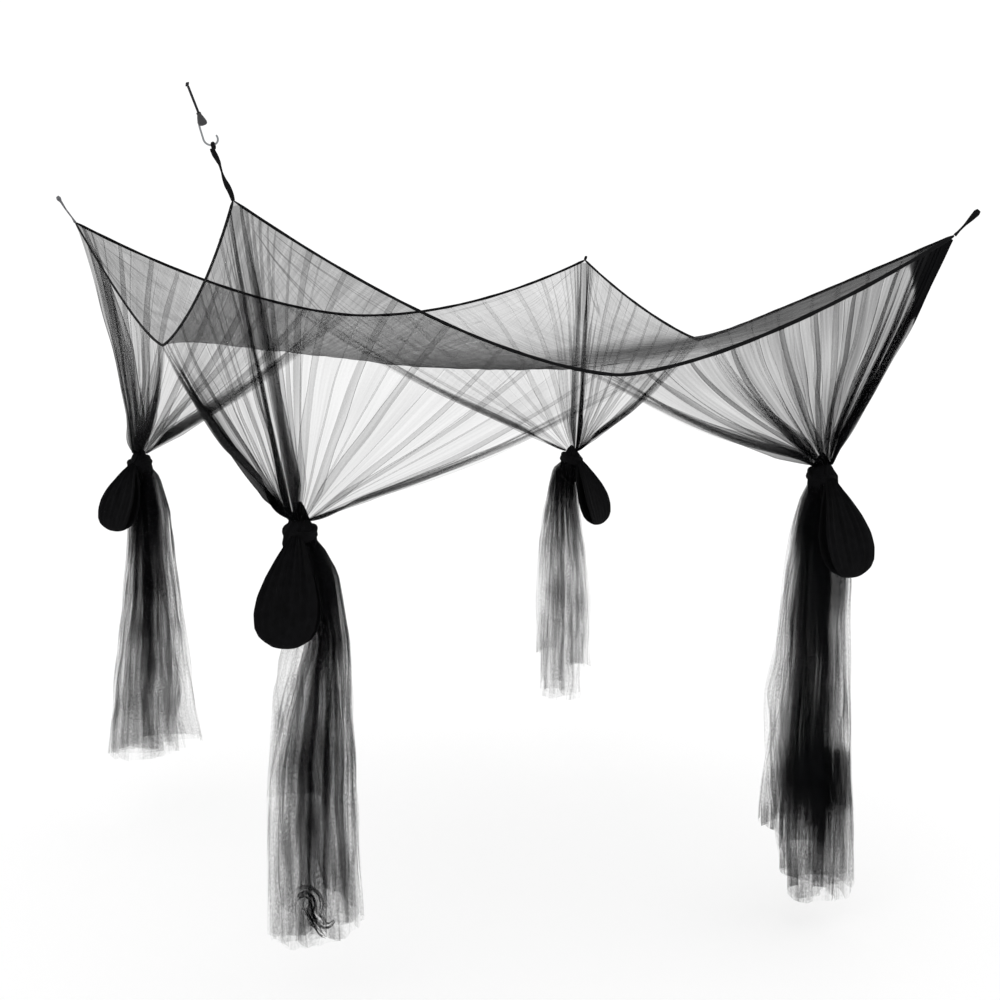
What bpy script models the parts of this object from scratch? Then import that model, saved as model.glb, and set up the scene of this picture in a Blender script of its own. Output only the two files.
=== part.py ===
"""Four-corner net canopy for a bed, its curtains drawn up and knotted, with one corner on its hook.

The roof is one sagging panel with a bound edge. Each corner carries one curtain, cut in one piece: it
hangs from half of two roof edges, gathers into a knot with one bow loop, and falls on as a tail.
Lengths are in metres. The model is laid out about the middle of the roof, at the level of its corners,
and moved at the end so that the top of the hook's cord is the origin.
"""

from math import copysign, cos, pi, radians, sin, sqrt

import bmesh
import bpy
import numpy as np
from mathutils import Vector

# The roof as it hangs: straight distances from corner to corner.
ROOF_WIDTH = 1.84
ROOF_LENGTH = 2.02
EDGE_BOW = 0.06  # how far the middle of an edge is drawn in
ROOF_SAG = 2.0  # how much the weight of the cloth bends the roof, as height per square of its width
ROOF_CELLS = 16
EDGE_CELLS = 24

NET = 0.002  # thickness that stands for the net and its small creases
BINDING_RADIUS = 0.004
BINDING_TIP = 0.0018  # radius where the binding meets the corner's tab
SEAT = 0.0004  # gap between pieces that touch
CORNER_KNOB = 0.004  # radius of the stitched knob at the root of each ribbon

# corner: side in X, side in Y, shift in X, shift in Y, height, as hung by hand
CORNERS = {
    "front_left": (-1, -1, 0.008, -0.001, -0.008),
    "front_right": (1, -1, 0.006, -0.002, -0.042),
    "back_right": (1, 1, -0.013, 0.008, -0.049),
    "back_left": (-1, 1, 0.011, -0.004, 0.044),
}

# edge: from, to, sag, where it is lowest, sharpness before that, sharpness after it
EDGES = {
    "front": ("front_left", "front_right", 0.355, 0.505, 1.55, 1.50),
    "back": ("back_left", "back_right", 0.246, 0.500, 1.75, 1.75),
    "left": ("front_left", "back_left", 0.343, 0.500, 1.20, 1.55),
    "right": ("front_right", "back_right", 0.305, 0.555, 1.15, 1.20),
}

# curtain: its two edges and how far it reaches along each, which side of the binding it is sewn to,
# the middle of its knot, and how far the tail hangs below the knot
CURTAINS = {
    "front_left": (("front", 0.565), ("left", 0.50), 1, (-0.715, -0.797, -0.732), 0.963),
    "front_right": (("front", 0.545), ("right", 0.55), -1, (0.700, -0.794, -0.657), 1.143),
    "back_right": (("back", 0.640), ("right", 0.45), 1, (0.749, 0.792, -0.748), 0.863),
    "back_left": (("back", 0.490), ("left", 0.50), -1, (-0.757, 0.823, -0.712), 0.935),
}

# tail: half its width at the hem, and how much shorter its two free ends are
TAILS = {
    "front_left": (0.100, 0.06, 0.28),
    "front_right": (0.100, 0.18, 0.06),
    "back_right": (0.098, 0.18, 0.12),
    "back_left": (0.145, 0.04, 0.03),
}

# bow loop: heading in degrees from +X, tilt from the vertical, length, width, half of its opening
LOOPS = {
    "front_left": (222, 20, 0.235, 0.150, 0.024),
    "front_right": (275, 20, 0.255, 0.165, 0.026),
    "back_right": (336, 20, 0.235, 0.110, 0.030),
    "back_left": (195, 24, 0.235, 0.125, 0.030),
}

# fold lines of a curtain, from its first free end round the corner to the second: depth of each
FOLD_DEPTHS = (1.3, 1.2, 0.6, 0.9, 0.5, 0.8, 0.7, 1.1, 1.3, 0.9, 0.6, 0.8, 0.5, 0.9, 1.1, 1.3)
FAN_FOLD = 0.014
NECK_FOLD = 0.0025
TAIL_FOLD = 0.015
LEAN = 0.07  # a steep side of a fold is measured across its slope, so it is laid thicker by this share
CROWDING = 0.5  # how strongly the folds crowd towards the free ends and the corner
BILLOW = 0.016
LAYER = 0.003  # a curtain is sewn this far to one side of the binding's middle
FREE_END_SAG = 0.03

FAN_ROWS = (0.0, 0.14, 0.30, 0.46, 0.62, 0.78, 0.91, 1.0)
TAIL_ROWS = (0.06, 0.20, 0.42, 0.70, 1.0)
NECK_RISE = 0.036  # the neck ring lies this far above the knot's middle
NECK_RADIUS = 0.034
WAIST_RADIUS = 0.020
TAIL_TOP_RADIUS = 0.024
TAIL_SWEEP = radians(300)
SHORT_SHARE = 0.36  # share of the hem over which a free end is shorter

# body of a knot: height, radius
KNOT_PROFILE = (
    (0.100, 0.005),
    (0.062, 0.015),
    (0.034, 0.021),
    (0.020, 0.037),
    (0.000, 0.047),
    (-0.024, 0.043),
    (-0.040, 0.034),
    (-0.050, 0.014),
)
KNOT_SIDES = 14
# body of a bow loop: distance down it and how far it has spread, as shares of its length and width
LOOP_PROFILE = (
    (0.00, 0.00),
    (0.10, 0.12),
    (0.25, 0.42),
    (0.42, 0.74),
    (0.60, 0.96),
    (0.76, 1.00),
    (0.88, 0.88),
    (0.96, 0.60),
    (1.00, 0.25),
)
LOOP_SIDES = 14
LOOP_BAND = 0.010  # thickness of the gathered band round its hollow
LOOP_HOLE_MIDDLE = 0.60
LOOP_HOLE_HALF = 0.33
WRAP_RADIUS = 0.042
WRAP_THICKNESS = 0.0135
WRAP_TILT = radians(20)

# The tackle at the front left corner, measured up the line on which the corner is pulled.
PULL = Vector((-0.434, -0.434, 0.789)).normalized()
TACKLE_SIDE = Vector((0.8406, -0.5100, 0.1815))  # the way the hook opens
HOOK_SEAT = 0.129  # where the ribbon hangs in the hook
HOOK_BEND = 0.0145
HOOK_WIRE = 0.0017
EYE_SIDE = 0.0035  # the ribbon lies in the bottom of the bend, a little to one side of the pull
HOOK_SHANK = ((0.0600, -0.0060), (0.0460, -0.0088))  # up, sideways: the wire's end and where it straightens
CONE_BASE = 0.0505
CONE_LENGTH = 0.026
CONE_RADIUS = 0.0095
CORD_RADIUS = 0.0025
CORD_LENGTH = 0.058
CORD_KNOT_RADIUS = 0.0045

# ribbon or tie, from its knob: distance along the pull, half width, half thickness, turn in degrees
KNOB = ((-0.0037, 0.0015, 0.0015, 0), (-0.0024, 0.0032, 0.0032, 0), (0.0, 0.0040, 0.0040, 0))
RIBBON_FRONT_LEFT = (
    (0.0100, 0.0050, 0.0030, 10),
    (0.0350, 0.0060, 0.0026, 30),
    (0.0600, 0.0045, 0.0024, 75),
    (0.0720, 0.0030, 0.0024, 105),
    (0.0900, 0.0055, 0.0026, 150),
    (0.1080, 0.0060, 0.0030, 180),
    (0.1230, 0.0050, 0.0028, 180),
)
RIBBON_EYE_RADIUS = 0.0062
RIBBON_EYE_THICKNESS = 0.0026
TIE_FRONT_RIGHT = (
    (0.0150, 0.0050, 0.0028, 20),
    (0.0350, 0.0045, 0.0026, 45),
    (0.0550, 0.0075, 0.0040, 60),
    (0.0750, 0.0100, 0.0055, 60),
    (0.0830, 0.0060, 0.0045, 60),
)
TIE_BACK_LEFT = (
    (0.0200, 0.0045, 0.0025, 30),
    (0.0600, 0.0038, 0.0025, 70),
    (0.0850, 0.0042, 0.0028, 90),
    (0.0960, 0.0080, 0.0070, 90),
    (0.1040, 0.0055, 0.0050, 90),
)
TAB_BACK_RIGHT = (
    (0.0090, 0.0055, 0.0035, 0),
    (0.0170, 0.0045, 0.0030, 0),
)


def corner(name):
    side_x, side_y, shift_x, shift_y, height = CORNERS[name]
    return Vector((side_x * ROOF_WIDTH / 2 + shift_x, side_y * ROOF_LENGTH / 2 + shift_y, height))


def inward(edge):
    """The level direction from the middle of an edge to the middle of the roof."""
    start, end = corner(EDGES[edge][0]), corner(EDGES[edge][1])
    middle = (start + end) / 2
    return Vector((-middle.x, -middle.y, 0)).normalized()


def edge_curve(edge, share):
    """A point on the smooth hanging line of an edge."""
    start_name, end_name, sag, lowest, sharp_before, sharp_after = EDGES[edge]
    if share < lowest:
        rise, power = share / lowest, sharp_before
    else:
        rise, power = (1 - share) / (1 - lowest), sharp_after
    point = corner(start_name).lerp(corner(end_name), share)
    point += inward(edge) * EDGE_BOW * 4 * share * (1 - share)
    point.z -= sag * (1 - (1 - rise) ** power)
    return point


def edge_point(edge, share):
    """A point on the edge as the binding has it, in straight pieces between its stations."""
    cell = min(int(share * EDGE_CELLS), EDGE_CELLS - 1)
    rest = share * EDGE_CELLS - cell
    near, far = edge_curve(edge, cell / EDGE_CELLS), edge_curve(edge, (cell + 1) / EDGE_CELLS)
    return near.lerp(far, rest)


def material(name, colour, roughness, metallic=0.0, alpha=1.0):
    made = bpy.data.materials.new(name)
    made.use_nodes = True
    shader = made.node_tree.nodes["Principled BSDF"]
    shader.inputs["Base Color"].default_value = (*colour, 1)
    shader.inputs["Roughness"].default_value = roughness
    shader.inputs["Metallic"].default_value = metallic
    shader.inputs["Alpha"].default_value = alpha
    made.diffuse_color = (*colour, alpha)
    return made


def new_object(name, mesh_or_curve, finish):
    made = bpy.data.objects.new(name, mesh_or_curve)
    bpy.context.scene.collection.objects.link(made)
    mesh_or_curve.materials.append(finish)
    return made


def mesh_object(name, bm, finish, smooth=True):
    bmesh.ops.triangulate(bm, faces=bm.faces)
    bmesh.ops.recalc_face_normals(bm, faces=bm.faces)
    mesh = bpy.data.meshes.new(name)
    bm.to_mesh(mesh)
    bm.free()
    if smooth:
        mesh.shade_smooth()
        mesh.set_sharp_from_angle(angle=radians(60))
    return new_object(name, mesh, finish)


def apply_modifiers(thing):
    """Leaves the object with the mesh that its modifiers make."""
    graph = bpy.context.evaluated_depsgraph_get()
    mesh = bpy.data.meshes.new_from_object(thing.evaluated_get(graph))
    thing.modifiers.clear()
    thing.data = mesh


def net_sheet(name, columns, rows, place, finish):
    """A sheet of net: place(column, row) gives a point of its middle and the way out to one face."""
    bm = bmesh.new()
    placed = [[place(column, row) for row in range(rows + 1)] for column in range(columns + 1)]
    outer = [[bm.verts.new(middle + half) for middle, half in line] for line in placed]
    inner = [[bm.verts.new(middle - half) for middle, half in line] for line in placed]
    # both faces bend on the same diagonals, so they never cross
    for column in range(columns):
        for row in range(rows):
            for layer in (outer, inner):
                near, far = layer[column], layer[column + 1]
                bm.faces.new((near[row], far[row], far[row + 1]))
                bm.faces.new((near[row], far[row + 1], near[row + 1]))
    around = [(column, 0) for column in range(columns)]
    around += [(columns, row) for row in range(rows)]
    around += [(column, rows) for column in range(columns, 0, -1)]
    around += [(0, row) for row in range(rows, 0, -1)]
    for (column, row), (next_column, next_row) in zip(around, around[1:] + around[:1]):
        near, far = outer[column][row], outer[next_column][next_row]
        bm.faces.new((near, far, inner[next_column][next_row], inner[column][row]))
    return mesh_object(name, bm, finish)


def skin(name, rings, finish):
    """A closed body through rings of points, capped at both ends."""
    bm = bmesh.new()
    loops = [[bm.verts.new(point) for point in ring] for ring in rings]
    for near, far in zip(loops, loops[1:]):
        for index, vert in enumerate(near):
            follower = (index + 1) % len(near)
            bm.faces.new((vert, near[follower], far[follower], far[index]))
    bm.faces.new(loops[0])
    bm.faces.new(loops[-1])
    return mesh_object(name, bm, finish)


def cut_away(body, cutter, label):
    cutter.hide_render = True
    cutter.display_type = "WIRE"
    cut = body.modifiers.new(label, "BOOLEAN")
    cut.operation = "DIFFERENCE"
    cut.solver = "EXACT"
    cut.object = cutter
    bpy.context.view_layer.update()


def join_by_union(body, others):
    for other in others:
        other.hide_render = True
        other.display_type = "WIRE"
        union = body.modifiers.new("Join " + other.name, "BOOLEAN")
        union.operation = "UNION"
        union.solver = "EXACT"
        union.object = other
    bpy.context.view_layer.update()
    apply_modifiers(body)
    for other in others:
        bpy.data.objects.remove(other)


# Roof


def settled_heights(cells):
    """Heights of the roof's grid: fixed at its edges, hanging under its own weight between them."""
    stations = [index / cells for index in range(cells + 1)]
    height = np.zeros((cells + 1, cells + 1))
    height[:, 0] = [edge_curve("front", share).z for share in stations]
    height[:, -1] = [edge_curve("back", share).z for share in stations]
    height[0, :] = [edge_curve("left", share).z for share in stations]
    height[-1, :] = [edge_curve("right", share).z for share in stations]
    height[1:-1, 1:-1] = height.mean()
    load = ROOF_SAG / (4 * cells * cells)
    for _ in range(20 * cells * cells):
        around = height[2:, 1:-1] + height[:-2, 1:-1] + height[1:-1, 2:] + height[1:-1, :-2]
        height[1:-1, 1:-1] = around / 4 - load
    return height


def make_roof(finish):
    height = settled_heights(ROOF_CELLS)
    set_back = BINDING_RADIUS + 1.3 * SEAT

    def place(column, row):
        across, along = column / ROOF_CELLS, row / ROOF_CELLS
        sides = edge_curve("front", across).lerp(edge_curve("back", across), along)
        sides += edge_curve("left", along).lerp(edge_curve("right", along), across)
        straight_front = corner("front_left").lerp(corner("front_right"), across)
        straight_back = corner("back_left").lerp(corner("back_right"), across)
        point = sides - straight_front.lerp(straight_back, along)
        point += inward("left") * set_back * (1 - 2 * across)
        point += inward("front") * set_back * (1 - 2 * along)
        point.z = height[column, row]
        return point, Vector((0, 0, NET / 2))

    return net_sheet("roof_panel", ROOF_CELLS, ROOF_CELLS, place, finish)


def make_binding(edge, finish):
    """The tape sewn over one edge of the roof, as a round bead narrowing to the corners."""
    curve = bpy.data.curves.new("binding_" + edge, "CURVE")
    curve.dimensions = "3D"
    curve.bevel_depth = BINDING_RADIUS
    curve.bevel_resolution = 2
    curve.use_fill_caps = True
    stand_off = CORNER_KNOB + SEAT
    points = [edge_curve(edge, index / EDGE_CELLS) for index in range(EDGE_CELLS + 1)]
    points[0] += (points[1] - points[0]).normalized() * stand_off
    points[-1] += (points[-2] - points[-1]).normalized() * stand_off
    spline = curve.splines.new("POLY")
    spline.points.add(len(points) - 1)
    for index, (knot, point) in enumerate(zip(spline.points, points)):
        knot.co = (*point, 1)
        knot.radius = BINDING_TIP / BINDING_RADIUS if index in (0, EDGE_CELLS) else 1
    return new_object("binding_" + edge, curve, finish)


# Curtains


def wing_stations(edge, reach, from_start):
    """Shares of the edge from the corner out to the free end, one for each column of the curtain."""
    whole = int(reach * EDGE_CELLS + 0.001)
    shares = [index / EDGE_CELLS for index in range(1, whole + 1)]
    if reach - shares[-1] > 0.45 / EDGE_CELLS:
        shares.append(reach)
    return shares if from_start else [1 - share for share in shares]


class Curtain:
    """The shape of one curtain: where each of its points hangs."""

    def __init__(self, name):
        (edge_a, reach_a), (edge_b, reach_b), self.side, knot, self.drop = CURTAINS[name]
        self.name = name
        self.knot = Vector(knot)
        self.half_width, self.rise_a, self.rise_b = TAILS[name]
        wing_a = wing_stations(edge_a, reach_a, EDGES[edge_a][0] == name)
        wing_b = wing_stations(edge_b, reach_b, EDGES[edge_b][0] == name)
        reach_up = (BINDING_RADIUS + SEAT) ** 2 - (LAYER - NET / 2) ** 2
        drop = Vector((0, 0, -sqrt(reach_up)))
        rim = [edge_point(edge_a, share) - inward(edge_a) * LAYER * self.side + drop for share in reversed(wing_a)]
        middle = corner(name) + Vector((0, 0, -0.012)) + self.outward() * LAYER * self.side
        rim.append(middle)
        rim += [edge_point(edge_b, share) - inward(edge_b) * LAYER * self.side + drop for share in wing_b]
        self.rim = rim
        self.columns = len(rim) - 1
        lengths = [0.0]
        for near, far in zip(rim, rim[1:]):
            lengths.append(lengths[-1] + (far - near).length)
        self.width = lengths[-1]
        self.corner_share = lengths[len(wing_a)] / self.width
        self.shares = [length / self.width for length in lengths]
        self.start_angle, self.sweep = self.neck_angles()

    def outward(self):
        side_x, side_y = CORNERS[self.name][:2]
        return Vector((side_x, side_y, 0)).normalized()

    def neck_angles(self):
        """The heading of the first free end from the knot, and the turn round the corner to the second."""
        first, last = self.rim[0] - self.knot, self.rim[-1] - self.knot
        out = self.outward()
        heading = np.arctan2(first.y, first.x)
        to_last = np.arctan2(last.y, last.x) - heading
        to_corner = (np.arctan2(out.y, out.x) - heading) % (2 * pi)
        sweep = to_last % (2 * pi)
        if to_corner > sweep:
            sweep -= 2 * pi
        return heading, sweep

    def rim_point(self, share):
        return Vector([np.interp(share, self.shares, [point[axis] for point in self.rim]) for axis in range(3)])

    def crowd(self, share, down):
        """Folds draw together at the free ends and at the corner, half way down most of all."""
        strength = CROWDING * sin(pi * down)
        if share < self.corner_share:
            phase, span = share / self.corner_share, self.corner_share
        else:
            span = 1 - self.corner_share
            phase = (share - self.corner_share) / span
        return share - strength * span * sin(2 * pi * phase) / (2 * pi)

    def ring_point(self, share, radius, height):
        angle = self.start_angle + self.sweep * share
        return self.knot + Vector((radius * cos(angle), radius * sin(angle), height))

    def fan(self, share, down):
        """The smooth surface from the roof's edge, down = 0, to the neck, down = 1."""
        moved = self.crowd(share, down)
        rim, neck = self.rim_point(moved), self.ring_point(moved, NECK_RADIUS, NECK_RISE)
        point = rim.lerp(neck, down)
        out = Vector((rim.x, rim.y, 0)).normalized()
        point += out * self.side * BILLOW * sin(pi * down) ** 0.6
        nearness = max(0.0, 1 - min(share, 1 - share) / 0.12)
        point.z -= FREE_END_SAG * nearness * sin(pi * down) ** 1.5
        return point

    def tail(self, share, down):
        """The smooth surface below the knot, from down = 0 to the hem at down = 1."""
        turn = TAIL_SWEEP if self.sweep > 0 else -TAIL_SWEEP
        out = self.outward()
        angle = np.arctan2(out.y, out.x) + turn * (share - self.corner_share)
        hem_radius = self.half_width - TAIL_FOLD
        radius = TAIL_TOP_RADIUS + (hem_radius - TAIL_TOP_RADIUS) * down**0.8
        short_a = self.rise_a * max(0.0, 1 - share / SHORT_SHARE)
        short_b = self.rise_b * max(0.0, 1 - (1 - share) / SHORT_SHARE)
        hang = (self.drop - short_a - short_b) * down
        return self.knot + Vector((radius * cos(angle), radius * sin(angle), -hang))

    def fold(self, column):
        """Which way and how deep the cloth is folded at this column."""
        depth = FOLD_DEPTHS[(column // 2 + self.columns) % len(FOLD_DEPTHS)]
        return depth if column % 2 else -depth

    def fan_normal(self, share, down):
        """The way out of the fan, away from the knot's axis."""
        step = 0.01
        across = self.fan(min(share + step, 1), down) - self.fan(max(share - step, 0), down)
        along = self.fan(share, min(down + step, 1)) - self.fan(share, max(down - step, 0))
        return (along.cross(across) if self.sweep > 0 else across.cross(along)).normalized()

    def place(self, column, row):
        """A point of the folded cloth, and the way out to its outer face."""
        share = self.shares[column]
        if row < len(FAN_ROWS):
            down = FAN_ROWS[row]
            depth = FAN_FOLD * sin(pi * down) ** 1.2 * (1 - 0.7 * down) + NECK_FOLD * down
            normal = self.fan_normal(share, down)
            point = self.fan(share, down) if row else self.rim[column]
            return point + normal * depth * self.fold(column), normal * (NET / 2 + depth * LEAN)
        down = 0 if row == len(FAN_ROWS) else TAIL_ROWS[row - len(FAN_ROWS) - 1]
        point = self.tail(share, down) if down else self.ring_point(share, WAIST_RADIUS, 0)
        spoke = Vector((point.x - self.knot.x, point.y - self.knot.y, 0)).normalized()
        depth = TAIL_FOLD * down
        return point + spoke * depth * self.fold(column), spoke * (NET / 2 + depth * LEAN)


def make_knot(curtain, finish):
    """The wound body of the knot, with the bunched cloth that runs up into the neck."""
    rings = []
    for height, radius in KNOT_PROFILE:
        ring = []
        for side in range(KNOT_SIDES):
            angle = 2 * pi * side / KNOT_SIDES
            lump = 1 + 0.06 * sin(3 * angle + 40 * height)
            ring.append(curtain.knot + Vector((radius * lump * cos(angle), radius * lump * sin(angle), height)))
        rings.append(ring)
    return skin("knot_body", rings, finish)


def make_wrap(curtain, finish):
    """The turn of cloth that goes round the knot."""
    bm = bmesh.new()
    heading = radians(LOOPS[curtain.name][0])
    lean = Vector((cos(heading), sin(heading), 0))
    level = Vector((-lean.y, lean.x, 0))
    tilted = lean * cos(WRAP_TILT) + Vector((0, 0, sin(WRAP_TILT)))
    normal = tilted.cross(level)
    around, across = 16, 7
    loops = []
    for turn in range(around):
        angle = 2 * pi * turn / around
        spoke = tilted * cos(angle) + level * sin(angle)
        thick = WRAP_THICKNESS * (1 + 0.18 * sin(2 * angle + 1))
        loop = []
        for side in range(across):
            roll = 2 * pi * side / across
            offset = spoke * (WRAP_RADIUS + thick * cos(roll)) + normal * thick * 1.15 * sin(roll)
            loop.append(bm.verts.new(curtain.knot + offset + Vector((0, 0, -0.002))))
        loops.append(loop)
    for turn, near in enumerate(loops):
        far = loops[(turn + 1) % around]
        for side in range(across):
            follower = (side + 1) % across
            bm.faces.new((near[side], near[follower], far[follower], far[side]))
    return mesh_object("knot_wrap", bm, finish)


def make_bow_loop(curtain, finish):
    """The half bow: a broad band of gathered cloth that goes down, round and back into the knot."""
    heading, tilt, length, width, opening = LOOPS[curtain.name]
    heading, tilt = radians(heading), radians(tilt)
    out = Vector((cos(heading), sin(heading), 0))
    axis = out * sin(tilt) - Vector((0, 0, cos(tilt)))
    gape = out * cos(tilt) + Vector((0, 0, sin(tilt)))
    broad = axis.cross(gape).normalized()
    root = curtain.knot + out * 0.028 - Vector((0, 0, 0.012))
    rings = []
    for along, spread in LOOP_PROFILE:
        ring = []
        for side in range(LOOP_SIDES):
            angle = 2 * pi * side / LOOP_SIDES
            half_width = 0.022 + (width / 2 - 0.022) * spread
            half_gape = 0.018 + (opening - 0.018) * spread
            # a band has a nearly straight side, so the oval is squared off
            across = copysign(abs(cos(angle)) ** 0.8, cos(angle)) * half_width
            through = copysign(abs(sin(angle)) ** 0.6, sin(angle)) * half_gape
            ring.append(root + axis * length * along + broad * across + gape * through)
        rings.append(ring)
    band = skin("bow_loop", rings, finish)
    hole_rings = []
    for way in (-1, 1):
        ring = []
        for side in range(12):
            angle = 2 * pi * (side + 0.37) / 12
            down = LOOP_HOLE_MIDDLE + LOOP_HOLE_HALF * cos(angle)
            half = (opening - LOOP_BAND) * sin(angle) * (0.55 + 0.45 * (1 + cos(angle)) / 2)
            ring.append(root + axis * length * down + gape * half + broad * way * width * 0.8)
        hole_rings.append(ring)
    hollow = skin("bow_hollow", hole_rings, finish)
    cut_away(band, hollow, "Hollow of the bow")
    apply_modifiers(band)
    bpy.data.objects.remove(hollow)
    return band


def make_curtain(name, finish):
    curtain = Curtain(name)
    rows = len(FAN_ROWS) + len(TAIL_ROWS)
    sheet = net_sheet("curtain_" + name, curtain.columns, rows, curtain.place, finish)
    join_by_union(
        sheet,
        [make_knot(curtain, finish), make_wrap(curtain, finish), make_bow_loop(curtain, finish)],
    )
    return sheet


# Ties, hook and cord


def ribbon_rings(root, pull, side, stations):
    """Flat oval rings up a ribbon, turned as it twists."""
    other = pull.cross(side).normalized()
    rings = []
    for distance, half_width, half_thick, turn in KNOB + stations:
        across = side * cos(radians(turn)) + other * sin(radians(turn))
        through = pull.cross(across).normalized()
        ring = []
        for step in range(8):
            angle = 2 * pi * (step + 0.5) / 8
            offset = across * half_width * cos(angle) + through * half_thick * sin(angle)
            ring.append(root + pull * distance + offset)
        rings.append(ring)
    return rings


def make_tie(name, corner_name, pull, stations, finish):
    pull = pull.normalized()
    side = pull.cross(Vector((0, 0, 1))).normalized()
    return skin(name, ribbon_rings(corner(corner_name), pull, side, stations), finish)


def make_hanging_ribbon(finish):
    """The corner's ribbon, folded into an eye that hangs in the hook."""
    start = corner("front_left")
    body = skin("ribbon_front_left", ribbon_rings(start, PULL, TACKLE_SIDE, RIBBON_FRONT_LEFT), finish)
    centre = start + PULL * HOOK_SEAT + TACKLE_SIDE * EYE_SIDE
    fore = PULL.cross(TACKLE_SIDE).normalized()
    rings = []
    around, across = 14, 7
    bm = bmesh.new()
    for turn in range(around):
        angle = 2 * pi * turn / around
        spoke = PULL * cos(angle) + fore * sin(angle)
        ring = []
        for step in range(across):
            roll = 2 * pi * step / across
            offset = spoke * (RIBBON_EYE_RADIUS + RIBBON_EYE_THICKNESS * cos(roll))
            offset += TACKLE_SIDE * RIBBON_EYE_THICKNESS * 1.6 * sin(roll)
            ring.append(bm.verts.new(centre + offset))
        rings.append(ring)
    for turn, near in enumerate(rings):
        far = rings[(turn + 1) % around]
        for step in range(across):
            follower = (step + 1) % across
            bm.faces.new((near[step], near[follower], far[follower], far[step]))
    eye = mesh_object("ribbon_eye", bm, finish)
    join_by_union(body, [eye])
    return body


def tackle_point(up, sideways):
    """A point in the hook's plane, from the place where the ribbon hangs."""
    seat = corner("front_left") + PULL * HOOK_SEAT
    return seat + PULL * up + TACKLE_SIDE * sideways


def hook_line():
    """The wire's middle line: down the shank, round the bend and up to the open tip."""
    wire_seat = RIBBON_EYE_RADIUS - RIBBON_EYE_THICKNESS - HOOK_WIRE - SEAT
    points = [tackle_point(*place) for place in HOOK_SHANK]
    for step in range(15):
        angle = pi + pi * 1.12 * step / 14
        up = wire_seat + HOOK_BEND * (1 + sin(angle))
        points.append(tackle_point(up, EYE_SIDE + HOOK_BEND * cos(angle)))
    return points


def tube(name, points, radius, resolution, finish):
    curve = bpy.data.curves.new(name, "CURVE")
    curve.dimensions = "3D"
    curve.bevel_depth = radius
    curve.bevel_resolution = resolution
    curve.use_fill_caps = True
    spline = curve.splines.new("POLY")
    spline.points.add(len(points) - 1)
    for knot, point in zip(spline.points, points):
        knot.co = (*point, 1)
    return new_object(name, curve, finish)


def make_cone(finish):
    """The moulded clamp that grips the cord and holds the hook's wire, open round the wire."""
    base = tackle_point(CONE_BASE, 0)
    side = TACKLE_SIDE
    other = PULL.cross(side).normalized()
    # height above the base, radius: up the outside to the cord's mouth
    profile = ((0.0, 0.92), (0.003, 1.0), (0.008, 0.93), (0.016, 0.68), (0.022, 0.46), (CONE_LENGTH, 0.42))
    rings = []
    for height, share in profile:
        ring = []
        for step in range(14):
            angle = 2 * pi * step / 14
            spoke = side * cos(angle) * 1.0 + other * sin(angle) * 0.8
            ring.append(base + PULL * height + spoke * CONE_RADIUS * share)
        rings.append(ring)
    cone = skin("hook_cone", rings, finish)
    top, below = (tackle_point(*place) for place in HOOK_SHANK)
    wire = (top - below).normalized()
    pocket = tube("wire_pocket", [below - wire * 0.01, top + wire * SEAT], HOOK_WIRE + SEAT, 2, finish)
    pocket_mesh = bpy.data.meshes.new_from_object(pocket)
    bpy.data.objects.remove(pocket)
    cutter = bpy.data.objects.new("wire_pocket_cutter", pocket_mesh)
    bpy.context.scene.collection.objects.link(cutter)
    cut_away(cone, cutter, "Wire pocket")
    return cone


def cord_line():
    """Points up the cord, from the cone's mouth to the knot at its upper end."""
    start = CONE_BASE + CONE_LENGTH + SEAT / 2
    return [tackle_point(start + CORD_LENGTH * step / 8, 0) for step in range(9)]


def make_cord_knot(finish):
    bm = bmesh.new()
    bmesh.ops.create_icosphere(bm, subdivisions=2, radius=CORD_KNOT_RADIUS)
    centre = cord_line()[-1] + PULL * (CORD_KNOT_RADIUS + SEAT / 2)
    for vert in bm.verts:
        vert.co = centre + vert.co
    return mesh_object("cord_knot", bm, finish)


def make_tackle(tape, metal, plastic, elastic):
    make_hanging_ribbon(tape)
    tube("hanging_hook", hook_line(), HOOK_WIRE, 2, metal)
    make_cone(plastic)
    tube("hook_cord", cord_line(), CORD_RADIUS, 2, elastic)
    make_cord_knot(elastic)


def move_origin_to_cord_top():
    top = cord_line()[-1] + PULL * (2 * CORD_KNOT_RADIUS + SEAT / 2)
    for thing in bpy.context.scene.objects:
        thing.location = -top


def main():
    for thing in list(bpy.data.objects):
        bpy.data.objects.remove(thing)
    net = material("black_net", (0.012, 0.012, 0.014), 0.85, alpha=0.35)
    tape = material("black_tape", (0.010, 0.010, 0.011), 0.75)
    grey_tape = material("grey_tape", (0.16, 0.16, 0.17), 0.75)
    metal = material("bright_wire", (0.72, 0.73, 0.74), 0.28, metallic=1.0)
    plastic = material("black_plastic", (0.02, 0.02, 0.022), 0.42)
    elastic = material("braided_cord", (0.014, 0.014, 0.016), 0.8)
    make_roof(net)
    for edge in EDGES:
        make_binding(edge, tape)
    for name in CURTAINS:
        make_curtain(name, net)
    make_tie("tie_front_right", "front_right", Vector((0.48, -0.48, 0.73)), TIE_FRONT_RIGHT, tape)
    make_tie("tie_back_left", "back_left", Vector((-0.44, 0.44, 0.78)), TIE_BACK_LEFT, grey_tape)
    make_tie("tab_back_right", "back_right", Vector((0.40, 0.40, 0.82)), TAB_BACK_RIGHT, tape)
    make_tackle(tape, metal, plastic, elastic)
    move_origin_to_cord_top()


main()
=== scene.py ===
from math import cos, pi, radians, sin

import bpy
import numpy as np
from mathutils import Matrix


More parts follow.
